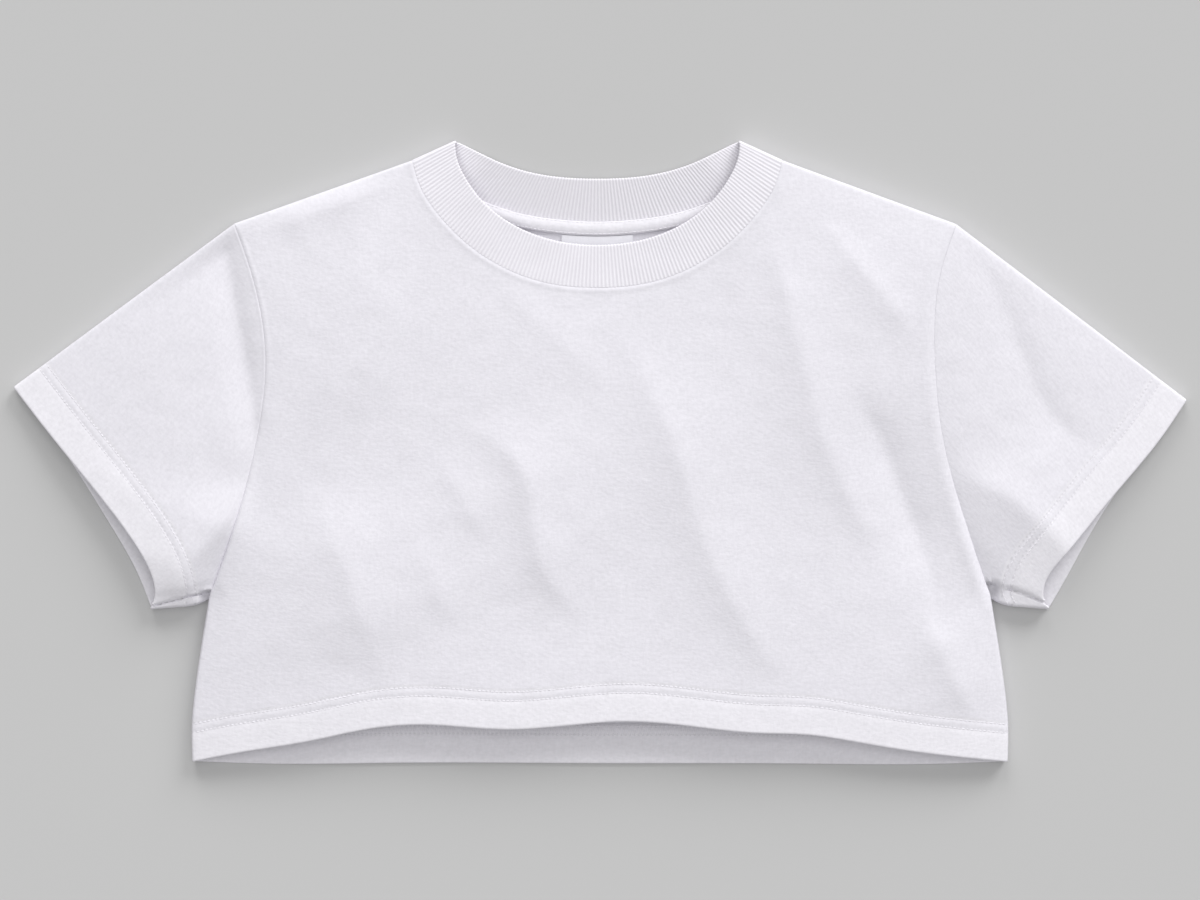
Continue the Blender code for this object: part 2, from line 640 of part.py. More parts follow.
def neck_tape():
    """The strip over the back neck seam, on the inner face of the back."""
    plan = np.stack([below_back_seam(TAPE_REACH, depth, 25) for depth in (TAPE_WIDTH, SEAM_GAP)])
    return cloth("neck_tape", on_back(plan, TAPE_WALL), TAPE_WALL, JERSEY_FINISH)


def neck_label():
    """The blank label, hanging from under the middle of the tape."""
    width, depth = LABEL_SIZE
    top = below_back_seam(width / 2, TAPE_WIDTH + SEAM_GAP, 5)
    bottom = np.column_stack([top[:, 0], np.full(len(top), top[:, 1].min() - depth)])
    return cloth("neck_label", on_back(np.stack([bottom, top]), LABEL_WALL), LABEL_WALL, LABEL_FINISH)


for old in list(bpy.data.objects):
    bpy.data.objects.remove(old)
PIECES = bpy.data.collections.new("crop_top")
bpy.context.scene.collection.children.link(PIECES)
JERSEY_FINISH = finish("cotton_jersey", WHITE_JERSEY, 0.9)
RIB_FINISH = finish("cotton_rib", WHITE_RIB, 0.92)
LABEL_FINISH = finish("woven_label", WHITE_LABEL, 0.6)

body_panel("front_panel", "front", FRONT_HEM, front_height)
body_panel("back_panel", "back", BACK_HEM, back_height)
sleeve("left")
sleeve("right")
neckband()
neck_tape()
neck_label()
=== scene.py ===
"""Finished look of a cropped T-shirt of white cotton jersey, laid out on its back.

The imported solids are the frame. Each piece is made again here as a thin wall of cloth on its solid's
form, in a finer mesh, with its ribs, hems, seams, soft creases and stitches.

All tables are in millimetres, with x from the centre line and y up from the back hem. -x is the
wearer's right. The finished pieces are in metres in the frame of the solids.
"""

import math
from collections import namedtuple

import bpy
import numpy as np
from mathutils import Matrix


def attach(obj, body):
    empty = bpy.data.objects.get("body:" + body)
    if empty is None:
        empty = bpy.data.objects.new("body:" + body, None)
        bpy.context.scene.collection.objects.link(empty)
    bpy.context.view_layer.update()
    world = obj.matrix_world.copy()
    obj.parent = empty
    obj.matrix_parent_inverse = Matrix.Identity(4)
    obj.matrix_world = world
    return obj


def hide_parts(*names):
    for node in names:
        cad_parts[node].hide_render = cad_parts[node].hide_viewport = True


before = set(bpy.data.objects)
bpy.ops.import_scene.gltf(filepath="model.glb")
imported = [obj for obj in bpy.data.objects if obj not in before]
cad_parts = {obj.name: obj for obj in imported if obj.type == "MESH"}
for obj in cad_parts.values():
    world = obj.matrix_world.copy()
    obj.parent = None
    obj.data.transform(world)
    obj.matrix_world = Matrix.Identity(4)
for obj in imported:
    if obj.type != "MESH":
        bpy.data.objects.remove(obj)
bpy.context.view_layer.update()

MM = 0.001
SIDES = {"left": -1, "right": 1}  # as seen from the front, and their direction along x

# Sizes of the cloth.
JERSEY = 1.0  # wall of one layer of jersey
TURN_UP = 0.8  # what the turned-up layer adds to the wall in a hem
HEM_DEPTH = 25.0
HEM_NEEDLES = (18.6, 24.2)  # distances of its needle rows from its edge
CUFF_DEPTH = 27.0
CUFF_NEEDLES = (20.8, 26.3)
RIB_WALL = 1.7  # ribbing, folded double, between its ribs
RIB_RISE = 0.22  # how far the ribs stand out from it
RIBS = {"front": 126, "back": 104}
RIB_STEPS = 6  # points over one rib
RIB_PITCH = 2.2
BAND_WIDTH = 27.0
BAND_LIFT = 3.0  # its free edge stands this far off the surface at the back
BAND_FADE = 25.0  # it comes down to each shoulder over this distance
TAPE_WALL = 1.0
TAPE_WIDTH = 9.7
TAPE_REACH = 100.0  # how far the tape runs to either side
LABEL_WALL = 0.7
LABEL_SIZE = (46.5, 24.0)
TAPE_SWELL, LABEL_SWELL = 0.9, 0.5  # how far their middles stand up
LAID_GAP = 0.3  # between the back and what lies on it
SEAM_GAP = 0.08  # pieces stand this far apart at a seam
RAW_EDGE = 0.8  # over which a hem's turned-up layer ends
STITCH = 2.3  # length of one stitch that shows
STITCH_PITCH = 2.8
FIRST_STITCH = 0.4  # pitches before the first stitch of a row
ROW_OFFSETS = (0.0, 0.5)  # and how many more on each needle row
THREAD = 0.22  # radius of the sewing thread, a little bolder than real to show
# The arch of a stitch: the share cut off at either end, how deep its foot would lie and how high it
# rises from there, in radii, and how thin its foot would be.
ARCH = {"ends": 0.12, "sunk": 1.1, "rise": 1.6, "thin": 0.55}

# How the garment lies.
BEND_HEIGHT = 5.2  # half the thickness along each side, shoulder and sleeve edge
BEND_WIDTH = 1.7  # how far in from such an edge its bend reaches
AIR_RISE = 5.5  # how far the front rises, well away from its edges
AIR_REACH = 40.0  # distance over which most of that rise comes
EDGE_BLEND = 4.0  # the lower, the softer between two edges
RUN_ON = 0.4  # share of its length that a sleeve's top edge runs on past the shoulder
SPAN_HEIGHT = 401.3  # from the back hem to the corners of the neckband
NECK_CENTRE = -1.7  # the middle of the neck opening

# Outline of the body from the hem up. x is outwards on either side.
SIDE_SEAM = ((262.4, 1.5), (262.6, 26.3), (261, 44.3), (258, 66.3), (251.5, 106.5))
ARMHOLE = {
    "left": ((251.5, 106.5), (232.2, 160), (218.7, 215.4), (214.2, 255), (221.2, 307.7), (235, 347.8)),
    "right": ((251.5, 106.5), (233.4, 159), (219.8, 210), (214.6, 262), (218.5, 316), (229, 347.4)),
}
BACK_ARMHOLE_EASE = 5.0  # the back armhole is scooped this much less
FRONT_HEM = (
    (-262.4, 1.5), (-234, 7.2), (-184.5, 15.6), (-147.5, 23.3), (-112, 26), (-60, 23),
    (15, 28.1), (50, 26), (100, 20.7), (134.8, 19.3), (166.4, 14.3), (205, 8), (262.4, 1.5),
)
BACK_HEM = ((-262.4, 1.5), (-215, -0.2), (-130, 0.3), (0, 0), (130, -0.2), (215, -0.4), (262.4, 1.5))

# Where the upper and lower parts of a panel's mesh meet, between the shoulder tips.
YOKE = ((-235, 347.8), (-190, 300), (-100, 266), (0, 258), (100, 266), (188, 300), (229, 347.4))

# Half outlines of the neckband, from the centre outwards. x is from NECK_CENTRE.
FRONT_NECK_SEAM = (
    (0, 306.2), (25, 307.9), (51, 315), (80, 331.5), (102.5, 353.8), (114.5, 373.3), (118.7, 388.5),
)
FRONT_NECK_TOP = (
    (0, 333.6), (25, 336), (49.3, 344.2), (71.2, 359.3), (85, 377.3), (90.6, 391), (91.3, 401),
)
BACK_NECK_SEAM = ((0, 349.6), (25, 351), (52, 355.5), (74, 363.1), (100, 376), (118.7, 388.5))
BACK_NECK_TOP = ((0, 376.7), (31.6, 378.7), (61.2, 386.6), (81, 396), (91.3, 401))

# Sleeve edges, from the body or the top fold. x is outwards on either side.
SLEEVE_BOTTOM = ((251.5, 106.5), (258, 103), (270, 101), (289, 99.5))
CUFF_FRONT = {
    "left": (
        (377.6, 242.7), (353.7, 212.2), (314.8, 164.5), (297, 140), (286.5, 117.8), (285.7, 109),
        (289, 99.5),
    ),
    "right": (
        (377.7, 234.5), (360, 209), (326.4, 169), (298.6, 135.4), (284.6, 112), (285, 106.5),
        (289, 99.5),
    ),
}
CUFF_BACK = {
    "left": ((377.6, 242.7), (348.3, 205), (318.2, 157.8), (297, 120), (289, 99.5)),
    "right": ((377.7, 234.5), (348, 196), (316.7, 149), (297.7, 114.4), (289, 99.5)),
}

Place = namedtuple("Place", "x y across along amount")  # centre, reach and strength
# How far the front sinks at its low places, and rises at its hem.
HOLLOWS = {
    "neck": Place(-1.7, 352, 80, 70, 5.0),
    "hem": Place(0, 0, 400, 100, -2.5),
    "cuff_left": Place(-330, 165, 60, 75, 2.5),
    "cuff_right": Place(330, 165, 60, 75, 2.5),
}
# The share of its height that the garment loses at its corners.
FLAT_CORNERS = {
    "cuff_left": Place(-377.6, 242.7, 70, 70, 0.35),
    "cuff_right": Place(377.7, 234.5, 70, 70, 0.35),
    "hem_left": Place(-262.4, 1.5, 130, 70, 0.2),
    "hem_right": Place(262.4, 1.5, 130, 70, 0.2),
}

# Soft folds, with a rounded crest and hollow flanks: how far each reaches to the left and right of its
# line, its rise, and the line.
Fold = namedtuple("Fold", "left right rise line")
FOLDS = {
    "chest_long": Fold(38, 22, 4.4, (
        (8, 284), (28, 248), (44, 216), (55, 183), (65, 150), (80, 115), (102, 76), (130, 36),
    )),
    "chest_middle": Fold(40, 14, 4.0, (
        (-93, 220), (-66, 208), (-51, 192), (-43, 162), (-38, 134), (-26, 110), (-8, 88),
    )),
    "chest_short": Fold(12, 8, 1.3, ((-106, 206), (-90, 174), (-70, 142))),
    "chest_faint": Fold(12, 8, 0.8, ((-120, 152), (-106, 118), (-92, 84))),
    "neck_front": Fold(12, 10, 0.8, ((-66, 308), (-26, 270), (16, 230))),
    "belly_left": Fold(46, 40, 4.6, (
        (-184, 184), (-173, 152), (-162, 122), (-152, 94), (-144, 70), (-139, 52),
    )),
    "shoulder_left": Fold(7, 12, 2.6, ((-228, 344), (-174, 364), (-128, 378))),
    "drape_left": Fold(14, 14, 2.2, ((-132, 360), (-150, 318), (-164, 280), (-176, 234), (-190, 190))),
    "drape_faint": Fold(10, 10, 1.5, ((-118, 330), (-140, 270), (-156, 205))),
    "neck_right": Fold(26, 18, 3.6, (
        (100, 362), (109, 337), (119, 304), (126, 276), (134, 242), (147, 200), (166, 160), (190, 118),
    )),
    "shoulder_right": Fold(9, 14, 1.8, ((138, 352), (150, 340), (166, 319), (184, 298), (206, 264))),
    "armhole_right": Fold(16, 20, -4.6, (
        (160, 250), (168, 231), (180, 207), (190, 182), (200, 157), (210, 128), (220, 96),
    )),
    "corner_right": Fold(14, 13, 2.8, ((204, 102), (218, 74), (231, 47), (244, 24))),
    "sleeve_head_left": Fold(7, 28, -4.6, (
        (-258, 412), (-245, 350), (-236, 300), (-229, 262), (-224, 232), (-221, 200), (-222, 165),
    )),
    "sleeve_left": Fold(12, 14, 0.8, (
        (-254, 330), (-251, 308), (-247, 271), (-241, 238), (-233, 205), (-228, 180),
    )),
    "sleeve_right": Fold(9, 26, -2.4, (
        (240, 340), (249, 313), (261, 286), (273, 257), (285, 231), (302, 212), (345, 196),
    )),
    "underarm_right": Fold(24, 20, 4.2, (
        (222, 198), (235, 187), (248, 179), (261, 172), (274, 162), (287, 150), (306, 131), (328, 108),
    )),
    "underarm_left": Fold(14, 32, 6.0, (
        (-226, 186), (-233, 170), (-241, 157), (-251, 144), (-261, 133), (-267, 121), (-271, 100),
        (-272, 84),
    )),
}
FOLD_CREST = 4.0  # over which a crest is rounded
FOLD_ENDS = 0.38  # share of its length over which a fold rises and widens, at each end
FOLD_EDGE = 12.0  # folds come down to a bent edge over this distance
FOLD_TIP = 0.35  # a fold's reach at its tips, as a share of the whole

# From the shoulder down to the underarm, the share of its height by which the cloth drops to the
# armhole seam, and over what width.
ARMHOLE_ROLL = {
    "along": (0.0, 0.35, 0.6, 0.8, 0.92, 1.0),
    "left": (0.01, 0.01, 0.05, 0.2, 0.4, 0.5),
    "right": (0.03, 0.05, 0.08, 0.16, 0.36, 0.5),
    "sleeve_width": (5.0, 6.0, 7.0, 7.0, 7.0, 7.0),
}
ROLL_WIDTH = {"left": 3.5, "right": 6.0}  # on the body side of the seam
ROLL_FADE = 10.0  # the roll fades out this close to a bent edge
ROLL_LIMIT = 1.2  # of the roll past its seam
# The cloth lies a step lower beyond the underarm seam, and sinks beside the body.
UNDERARM_SEAM = {
    "left": ((-310, 95), (-285.4, 102.4), (-276.1, 104.7), (-264.8, 108), (-251, 110.2)),
    "right": ((248.8, 115.2), (257.7, 114.1), (265.5, 111.8), (276.6, 108), (283.8, 104.7), (310, 95)),
}
UNDERARM_STEP = {"drop": 0.9, "fall": 0.9, "groove": 2.0, "half": 0.5}
PIT = {"height": 3.0, "fall": 2.5, "full": 251.5, "ends": 259.5, "top": 150.0, "bulge": 0.2}
CUFF_ANGLE = 51.0  # how far each cuff is turned from the hem's direction

# Relief of the sewing.
NEEDLE_DENT, NEEDLE_WIDTH = 0.22, 1.3
# A hem's tone is 1 where the cloth lies double. It is lower between the needle rows, as painted shade of
# that band,
# # and 1 again just past the inner row, as a painted highlight on the ridge where the turned-up layer
# ends, then 0.
# # Columns: needle row, how far past it, and how bright.
HEM_DOUBLE_AND_PAINTED_LIGHT = ((0, -0.8, 1.0), (0, 0.8, 0.4), (1, -0.2, 0.4), (1, 0.6, 1.0), (1, 1.4, 1.0), (1, 2.2, 0.0))
SEAM_DENT = 0.06  # both edges of a seam turn in this much
SEAM_TURN = 1.3
Ridge = namedtuple("Ridge", "rise centre half")
RIDGES = {  # the seam allowances beside each seam
    "left": Ridge(0.3, 1.6, 1.3),
    "right": Ridge(0.35, 5.5, 4.5),
    "sleeve_left": Ridge(0.2, 1.1, 0.7),
    "neck": Ridge(0.3, 2.0, 1.5),
}

# Slight unevenness of washed cloth.
WAVES = {"count": 26, "shortest": 16.0, "longest": 70.0, "height": 0.012, "growth": 0.7, "seed": 7}

# Mesh density.
BEND_ANGLES = (0, 10, 22, 35, 48, 62, 76, 90)
BEND_STEPS = [BEND_WIDTH * (1.0 - math.cos(math.radians(angle))) for angle in BEND_ANGLES]
UNDERARM_STEPS = BEND_STEPS + [3.0, 3.9, 4.6, 5.2, 5.8, 6.4, 7.0, 7.6, 8.2, 8.8, 9.6, 10.6, 12.0]
SEAM_STEPS = [0.0, 0.3, 0.7, 1.2, 2.0, 3.0, 4.2]  # rows next to a seam
SEWN_STEPS = [SEAM_GAP + step for step in SEAM_STEPS]  # and beyond it
# Rows next to a hem's and the band's folded edge, from half the wall inwards.
RIM_STEPS, BAND_STEPS = (0.0, 0.8, 2.4), (0.0, 0.8, 2.0)
HEM_STEPS = (6.0, 10.0, 14.0)  # in the plain part of a hem
NEEDLE_STEPS = (-1.6, -0.8, 0.0, 0.8, 1.6)  # beside each needle row
TURN_UP_STEPS = (1.3, 2.0, 3.0)  # above the end of the turned-up layer
TAPE_GRID, LABEL_GRID = (11, 121), (21, 41)  # points up and along
GAPS = {"side": 32, "armhole": 80, "shoulder": 36, "across": 216, "sleeve": 90, "cuff": 52, "band": 6}
DENSE = 240  # samples along each edge of a patch
COARSE = 36  # along a line that distances are measured from
FOLD_SAMPLES = 24
FINER = 8  # a curve is this much finer before it is sampled
RIM_POINTS = 4  # over a folded edge
THREAD_RINGS, THREAD_SIDES = 5, 6
AT_ONCE = 4096  # points measured at a time
WALL_SHEAR = (-0.5, 1.0)  # how the knit moves over the plan with height, to show on upright edges
SHARPEST_CURVE = 50.0  # an edge sharper than this, in degrees, stays sharp

# Colours and patterns.
# The hem shade also carries the hems' painted highlights and the tape's painted light. groove is painted
# shade in the rib's grooves, and label is darkened as painted shade from the front of the neckband.
CLOTH_SHADES = {
    "jersey": "#EBE9F0", "hem": "#F0EEF4", "rib": "#EEECF2", "groove": "#DEDBE2", "label": "#E4E3E9",
}
THREAD_SHADE = "#EDEBF0"
FLOOR_SHADE = "#C4C4C4"
# Jersey's yarn is some 0.2 mm thick, too fine to show, so its streaks both ways and its clouds are
# drawn coarser: length, width and how much they darken the cloth. The other yarns are coarser too.
GRAINS = ((3.2, 2.0, 0.062), (1.5, 5.0, 0.04), (10.0, 8.0, 0.026))
GRAIN_RANGE = (0.3, 0.7)
YARN_RELIEF = 0.15
RIB_YARN = (1.2, 2.0)
WARP = (0.6, 6.0)
WARP_SHADE, WARP_RELIEF = 0.03, 0.05
HOLE = (0.3, 1.0, 0.13)  # of a needle: where it is darkest, where it ends, and how dark it is
NO_WRAP = 1000.0  # further than any place is from a hem

# The surface, the light and the camera, in degrees and metres.
SURFACE = 8.0
SURFACE_GAP = 0.0002
ROOM_LIGHT = 0.34
Lamp = namedtuple("Lamp", "strength width height turn")
LAMPS = {
    "window_right": Lamp(1.9, 30.0, 22.0, -35.0),
    "window_left": Lamp(1.15, 30.0, 22.0, 10.0),
    "ceiling": Lamp(0.98, 70.0, 90.0, 0.0),
}
LENS = 100.0  # in millimetres
ABOVE = (0.0, 0.0014, 2.15)


def linear(shade):
    """An sRGB hex colour as linear RGBA."""
    parts = [int(shade[i:i + 2], 16) / 255 for i in (1, 3, 5)]
    return tuple(p / 12.92 if p <= 0.04045 else ((p + 0.055) / 1.055) ** 2.4 for p in parts) + (1.0,)


# Lines and grids in the plan.

def length_of(line):
    return np.linalg.norm(np.diff(line, axis=0), axis=1).sum()


def run_of(line):
    """How far along a line each of its points lies."""
    return np.concatenate([[0.0], np.cumsum(np.linalg.norm(np.diff(line, axis=0), axis=1))])


def along(line, distances, values=None):
    """Points, or the values given for them, at these distances along a line."""
    values = line if values is None else values
    run = run_of(line)
    return np.stack([np.interp(distances, run, values[:, k]) for k in range(values.shape[1])], axis=1)


def spline(points, count=DENSE):
    """A natural cubic through the points, sampled evenly along its length."""
    points = np.array(points, float)
    knots = run_of(points)
    steps = np.diff(knots)
    size = len(points)
    matrix = np.eye(size)
    right = np.zeros((size, 2))
    for i in range(1, size - 1):
        matrix[i, i - 1:i + 2] = steps[i - 1], 2 * (steps[i - 1] + steps[i]), steps[i]
        slopes = np.diff(points[i - 1:i + 2], axis=0) / steps[i - 1:i + 1, None]
        right[i] = 6 * (slopes[1] - slopes[0])
    bend = np.linalg.solve(matrix, right)
    at = np.linspace(0.0, knots[-1], FINER * count)
    i = np.clip(np.searchsorted(knots, at) - 1, 0, size - 2)
    a = ((knots[i + 1] - at) / steps[i])[:, None]
    b = 1.0 - a
    curve = a * points[i] + b * points[i + 1]
    curve += ((a ** 3 - a) * bend[i] + (b ** 3 - b) * bend[i + 1]) * (steps[i] ** 2)[:, None] / 6
    return along(curve, np.linspace(0.0, 1.0, count) * length_of(curve))


def stations(length, start, end, gaps):
    """Distances along a line: fixed ones near its ends, and even gaps between."""
    middle = np.linspace(start[-1], length - end[-1], gaps + 1)
    return np.sort(np.concatenate([start[:-1], middle, length - np.array(end[:-1])]))


def joined(*lines):
    """Lines that follow each other, as one."""
    return np.concatenate([lines[0]] + [line[1:] for line in lines[1:]])


def placed(points, side):
    """A one-sided table on its side."""
    return np.array(points, float) * (SIDES[side], 1)


def mirrored(half):
    """A whole edge of the neckband, from -x to +x, from its half outline."""
    right = np.array(half, float)
    left = right[:0:-1] * (-1.0, 1.0)
    return np.concatenate([left, right]) + (NECK_CENTRE, 0.0)


def nearest(points, line):
    """For each point, its distance to a line and the share of the line's length at the nearest place.

    The distance is positive to the right of the line and negative to its left.
    """
    start, step = line[:-1], np.diff(line, axis=0)
    square = (step ** 2).sum(axis=1)
    right = np.column_stack([step[:, 1], -step[:, 0]]) / np.sqrt(square)[:, None]
    run = np.concatenate([[0.0], np.cumsum(np.sqrt(square))])
    found = []
    for first in range(0, len(points), AT_ONCE):
        some = points[first:first + AT_ONCE]
        offset = some[:, None, :] - start[None]
        share = np.clip((offset * step[None]).sum(axis=2) / square, 0.0, 1.0)
        gaps = np.linalg.norm(offset - share[..., None] * step[None], axis=2)
        best = gaps.argmin(axis=1)
        rows = np.arange(len(some))
        share = share[rows, best]
        ahead = np.where(share >= 1.0, np.minimum(best + 1, len(right) - 1), best)
        behind = np.where(share <= 0.0, np.maximum(best - 1, 0), best)
        away = some - start[best] - share[:, None] * step[best]
        turn = (away * (right[ahead] + right[behind])).sum(axis=1)
        reached = run[best] + share * np.sqrt(square[best])
        found.append([np.where(turn < 0.0, -1.0, 1.0) * gaps[rows, best], reached / run[-1]])
    return np.concatenate(found, axis=1)


def patch(bottom, top, left, right):
    """A dense grid of points filling four edges. Rows run from bottom to top."""
    u = np.linspace(0.0, 1.0, len(bottom))[None, :, None]
    v = np.linspace(0.0, 1.0, len(left))[:, None, None]
    across = (1 - u) * left[:, None] + u * right[:, None]
    up = (1 - v) * bottom[None] + v * top[None]
    corners = (1 - v) * ((1 - u) * bottom[0] + u * bottom[-1]) + v * ((1 - u) * top[0] + u * top[-1])
    return across + up - corners


def regrid(dense, column_groups, row_groups):
    """Resamples a dense grid. A group is (share of the grid at its end, first, last, gaps between)."""
    def resample(lines, groups):
        made, first = [], 0
        for share, *steps in groups:
            last = round(share * (lines.shape[1] - 1))
            block = [along(line, stations(length_of(line), *steps)) for line in lines[:, first:last + 1]]
            made.append(np.array(block)[:, (1 if made else 0):])
            first = last
        return np.concatenate(made, axis=1)

    rows = resample(dense, column_groups)
    return resample(rows.swapaxes(0, 1), row_groups).swapaxes(0, 1)


# Outlines of the garment.

def neck_fold(side):
    """The ends of the neckband's fold at a shoulder, at its free edge and its seam."""
    return placed((FRONT_NECK_TOP[-1], FRONT_NECK_SEAM[-1]), side) + (NECK_CENTRE, 0.0)


def armhole(side, layer, count=DENSE):
    """The armhole from the underarm up to the shoulder."""
    curve = spline(placed(ARMHOLE[side], side), count)
    if layer == "back":
        across = SIDES[side] * BACK_ARMHOLE_EASE
        curve[:, 0] += across * np.sin(np.linspace(0.0, math.pi, len(curve))) ** 2
    return curve


def neck_seam(layer, count):
    """The seam between one panel and the neckband, from -x to +x."""
    half = FRONT_NECK_SEAM if layer == "front" else BACK_NECK_SEAM
    return spline(mirrored(half), count)


def edge_lines(piece):
    """The bent edges as one piece meets them, with the garment to the right of each.

    A straight edge of the piece's own runs on past its shoulder tip.
    """
    lines = []
    for side, direction in SIDES.items():
        tip, cuff = placed(ARMHOLE[side], side)[-1], placed(CUFF_FRONT[side], side)[0]
        free, seam = neck_fold(side)
        whole = {
            "all": [cuff, tip, seam, free],
            "body": [tip + (tip - seam), seam, free],
            "sleeve": [cuff, tip + (tip - cuff) * RUN_ON],
        }
        under = [spline(placed(line, side), COARSE) for line in (SIDE_SEAM, SLEEVE_BOTTOM)]
        lines += [np.array(whole[piece])[::-direction], joined(*under)[::-direction]]
    return lines


EDGES = {piece: edge_lines(piece) for piece in ("all", "body", "sleeve")}
ARMHOLE_LINES = {side: armhole(side, "front", 2 * COARSE)[::-1] for side in SIDES}
NECK_LINE = neck_seam("front", 3 * COARSE)
BACK_NECK_LINE = neck_seam("back", 2 * COARSE)
FOLD_LINES = [spline(fold.line, FOLD_SAMPLES) for fold in FOLDS.values()]


# Heights over the surface, in millimetres.

def edge_distance(points, piece="all"):
    """Distance to the bent edges, smooth where two of them are equally near."""
    gaps = np.stack([np.abs(nearest(points, line)[0]) for line in EDGES[piece]])
    return (np.maximum(gaps, 1e-6) ** -EDGE_BLEND).sum(axis=0) ** (-1.0 / EDGE_BLEND)


def bend_height(points, piece, gap):
    """Height over or under the seams in the bend, from 0 at the edge to BEND_HEIGHT."""
    inset = 1.0 - np.minimum(edge_distance(points, piece) / BEND_WIDTH, 1.0)
    start = gap / 2 / BEND_HEIGHT
    return BEND_HEIGHT * np.sqrt(start ** 2 + (1.0 - start ** 2) * (1.0 - inset ** 2))


def unevenness(points):
    """A few tenths of a millimetre of gentle waves in all directions."""
    random = np.random.default_rng(WAVES["seed"])
    total = np.zeros(len(points))
    for _ in range(WAVES["count"]):
        wavelength = np.exp(random.uniform(np.log(WAVES["shortest"]), np.log(WAVES["longest"])))
        heading = random.uniform(0.0, math.pi)
        start = random.uniform(0.0, 2 * math.pi)
        across = points @ np.array([math.cos(heading), math.sin(heading)])
        size = WAVES["height"] * (wavelength / WAVES["shortest"]) ** WAVES["growth"]
        total += size * np.sin(2 * math.pi * across / wavelength + start)
    return total


def eased(share):
    """A share from 0 to 1 that starts and ends softly."""
    share = np.clip(share, 0.0, 1.0)
    return share * share * (3.0 - 2.0 * share)


def fold_rise(points, fold, line):
    """Height that one fold adds."""
    distance = nearest(points, line)[0]
    span = line[-1] - line[0]
    share = (points - line[0]) @ span / (span @ span)
    ends = eased(np.minimum(share, 1.0 - share) / FOLD_ENDS)
    reach = np.where(distance > 0.0, fold.right, fold.left) * (FOLD_TIP + (1.0 - FOLD_TIP) * ends)
    away = np.sqrt(distance ** 2 + FOLD_CREST ** 2) - FOLD_CREST
    return fold.rise * np.exp(-away / reach) * ends


def bell(points, place):
    """1 at the centre of a place, falling smoothly to 0 beyond its reach."""
    across = ((points[:, 0] - place.x) / place.across) ** 2
    return np.exp(-across - ((points[:, 1] - place.y) / place.along) ** 2)


def kept_height(points):
    """Share of its height that the garment keeps near its corners."""
    return 1.0 - sum(corner.amount * bell(points, corner) for corner in FLAT_CORNERS.values())


def upper_height(points, piece="body", gap=0.0):
    """Height of the upper layer's outer face over the surface."""
    distance = edge_distance(points)
    room = 1.0 - np.exp(-distance / AIR_REACH)
    rise = AIR_RISE * room
    for hollow in HOLLOWS.values():
        rise -= hollow.amount * bell(points, hollow) * room
    near_edge = np.minimum(distance / FOLD_EDGE, 1.0)
    for fold, line in zip(FOLDS.values(), FOLD_LINES):
        rise += fold_rise(points, fold, line) * near_edge
    rise += unevenness(points) * near_edge
    return (BEND_HEIGHT + bend_height(points, piece, gap) + rise) * kept_height(points)


def lower_height(points, piece="body", gap=0.0):
    """Height of the lower layer's outer face, 0 away from the edges."""
    return (BEND_HEIGHT - bend_height(points, piece, gap)) * kept_height(points)


def armhole_roll(points, side, on_sleeve):
    """Share of its height by which the cloth drops near an armhole seam."""
    distance, share = nearest(points, ARMHOLE_LINES[side])
    if (side == "left") != on_sleeve:
        distance = -distance
    drop = np.interp(share, ARMHOLE_ROLL["along"], ARMHOLE_ROLL[side])
    drop *= eased(edge_distance(points) / ROLL_FADE)
    if on_sleeve:
        width = np.interp(share, ARMHOLE_ROLL["along"], ARMHOLE_ROLL["sleeve_width"])
        return drop * np.exp(-distance / width)
    return drop * np.clip(1.0 - distance / ROLL_WIDTH[side], 0.0, ROLL_LIMIT) ** 2


def needle_dents(distance, needles):
    """The channels that two needle rows press into a hem."""
    return -NEEDLE_DENT * sum(np.exp(-((distance - needle) / NEEDLE_WIDTH) ** 2) for needle in needles)


def hem_double_and_painted_light(distance, hem):
    """How bright a hem is painted, from 0 to 1: brighter where it lies double, with painted shade
    between its needle rows and a painted highlight past the inner one.
    """
    places = [hem.needles[row] + past for row, past, _ in HEM_DOUBLE_AND_PAINTED_LIGHT]
    return np.interp(distance, places, [tone for *_, tone in HEM_DOUBLE_AND_PAINTED_LIGHT])


def seam_relief(points, line, ridge=None):
    """A seam's edge turning in, and the ridge that its allowances raise beside it."""
    distance = np.abs(nearest(points, line)[0])
    relief = -SEAM_DENT * np.clip(1.0 - distance / SEAM_TURN, 0.0, 1.0) ** 2
    if ridge:
        relief += ridge.rise * np.exp(-((distance - ridge.centre) / ridge.half) ** 2)
    return relief


def front_height(points):
    height = upper_height(points, gap=SEAM_GAP)
    for side in SIDES:
        height -= armhole_roll(points, side, False) * (height - BEND_HEIGHT)
        height += seam_relief(points, ARMHOLE_LINES[side], RIDGES[side])
    return height + seam_relief(points, NECK_LINE, RIDGES["neck"])


def back_height(points):
    return lower_height(points, gap=SEAM_GAP)


def pit_share(points):
    """1 at the bottom of a sleeve beside the body, falling to 0 further out."""
    beside = eased((PIT["ends"] - np.abs(points[:, 0])) / (PIT["ends"] - PIT["full"]))
    return np.where(points[:, 1] < PIT["top"], beside, 0.0)


def below_underarm_seam(points, raised, side):
    """The upper layer's height with the step at its underarm seam and the pit beside the body."""
    above = -nearest(points, np.array(UNDERARM_SEAM[side]))[0]
    bend = bend_height(points, "sleeve", 0.0) / BEND_HEIGHT
    stepped = UNDERARM_STEP["drop"] * np.clip(1.0 - above / UNDERARM_STEP["fall"], 0.0, 1.0)
    stepped += UNDERARM_STEP["groove"] * np.exp(-(above / UNDERARM_STEP["half"]) ** 2)
    sunk = pit_share(points) * np.clip(1.0 - above / PIT["fall"], 0.0, 1.0)
    return (raised - stepped * bend) * (1.0 - sunk) + PIT["height"] * (1.0 + PIT["bulge"] * bend) * sunk


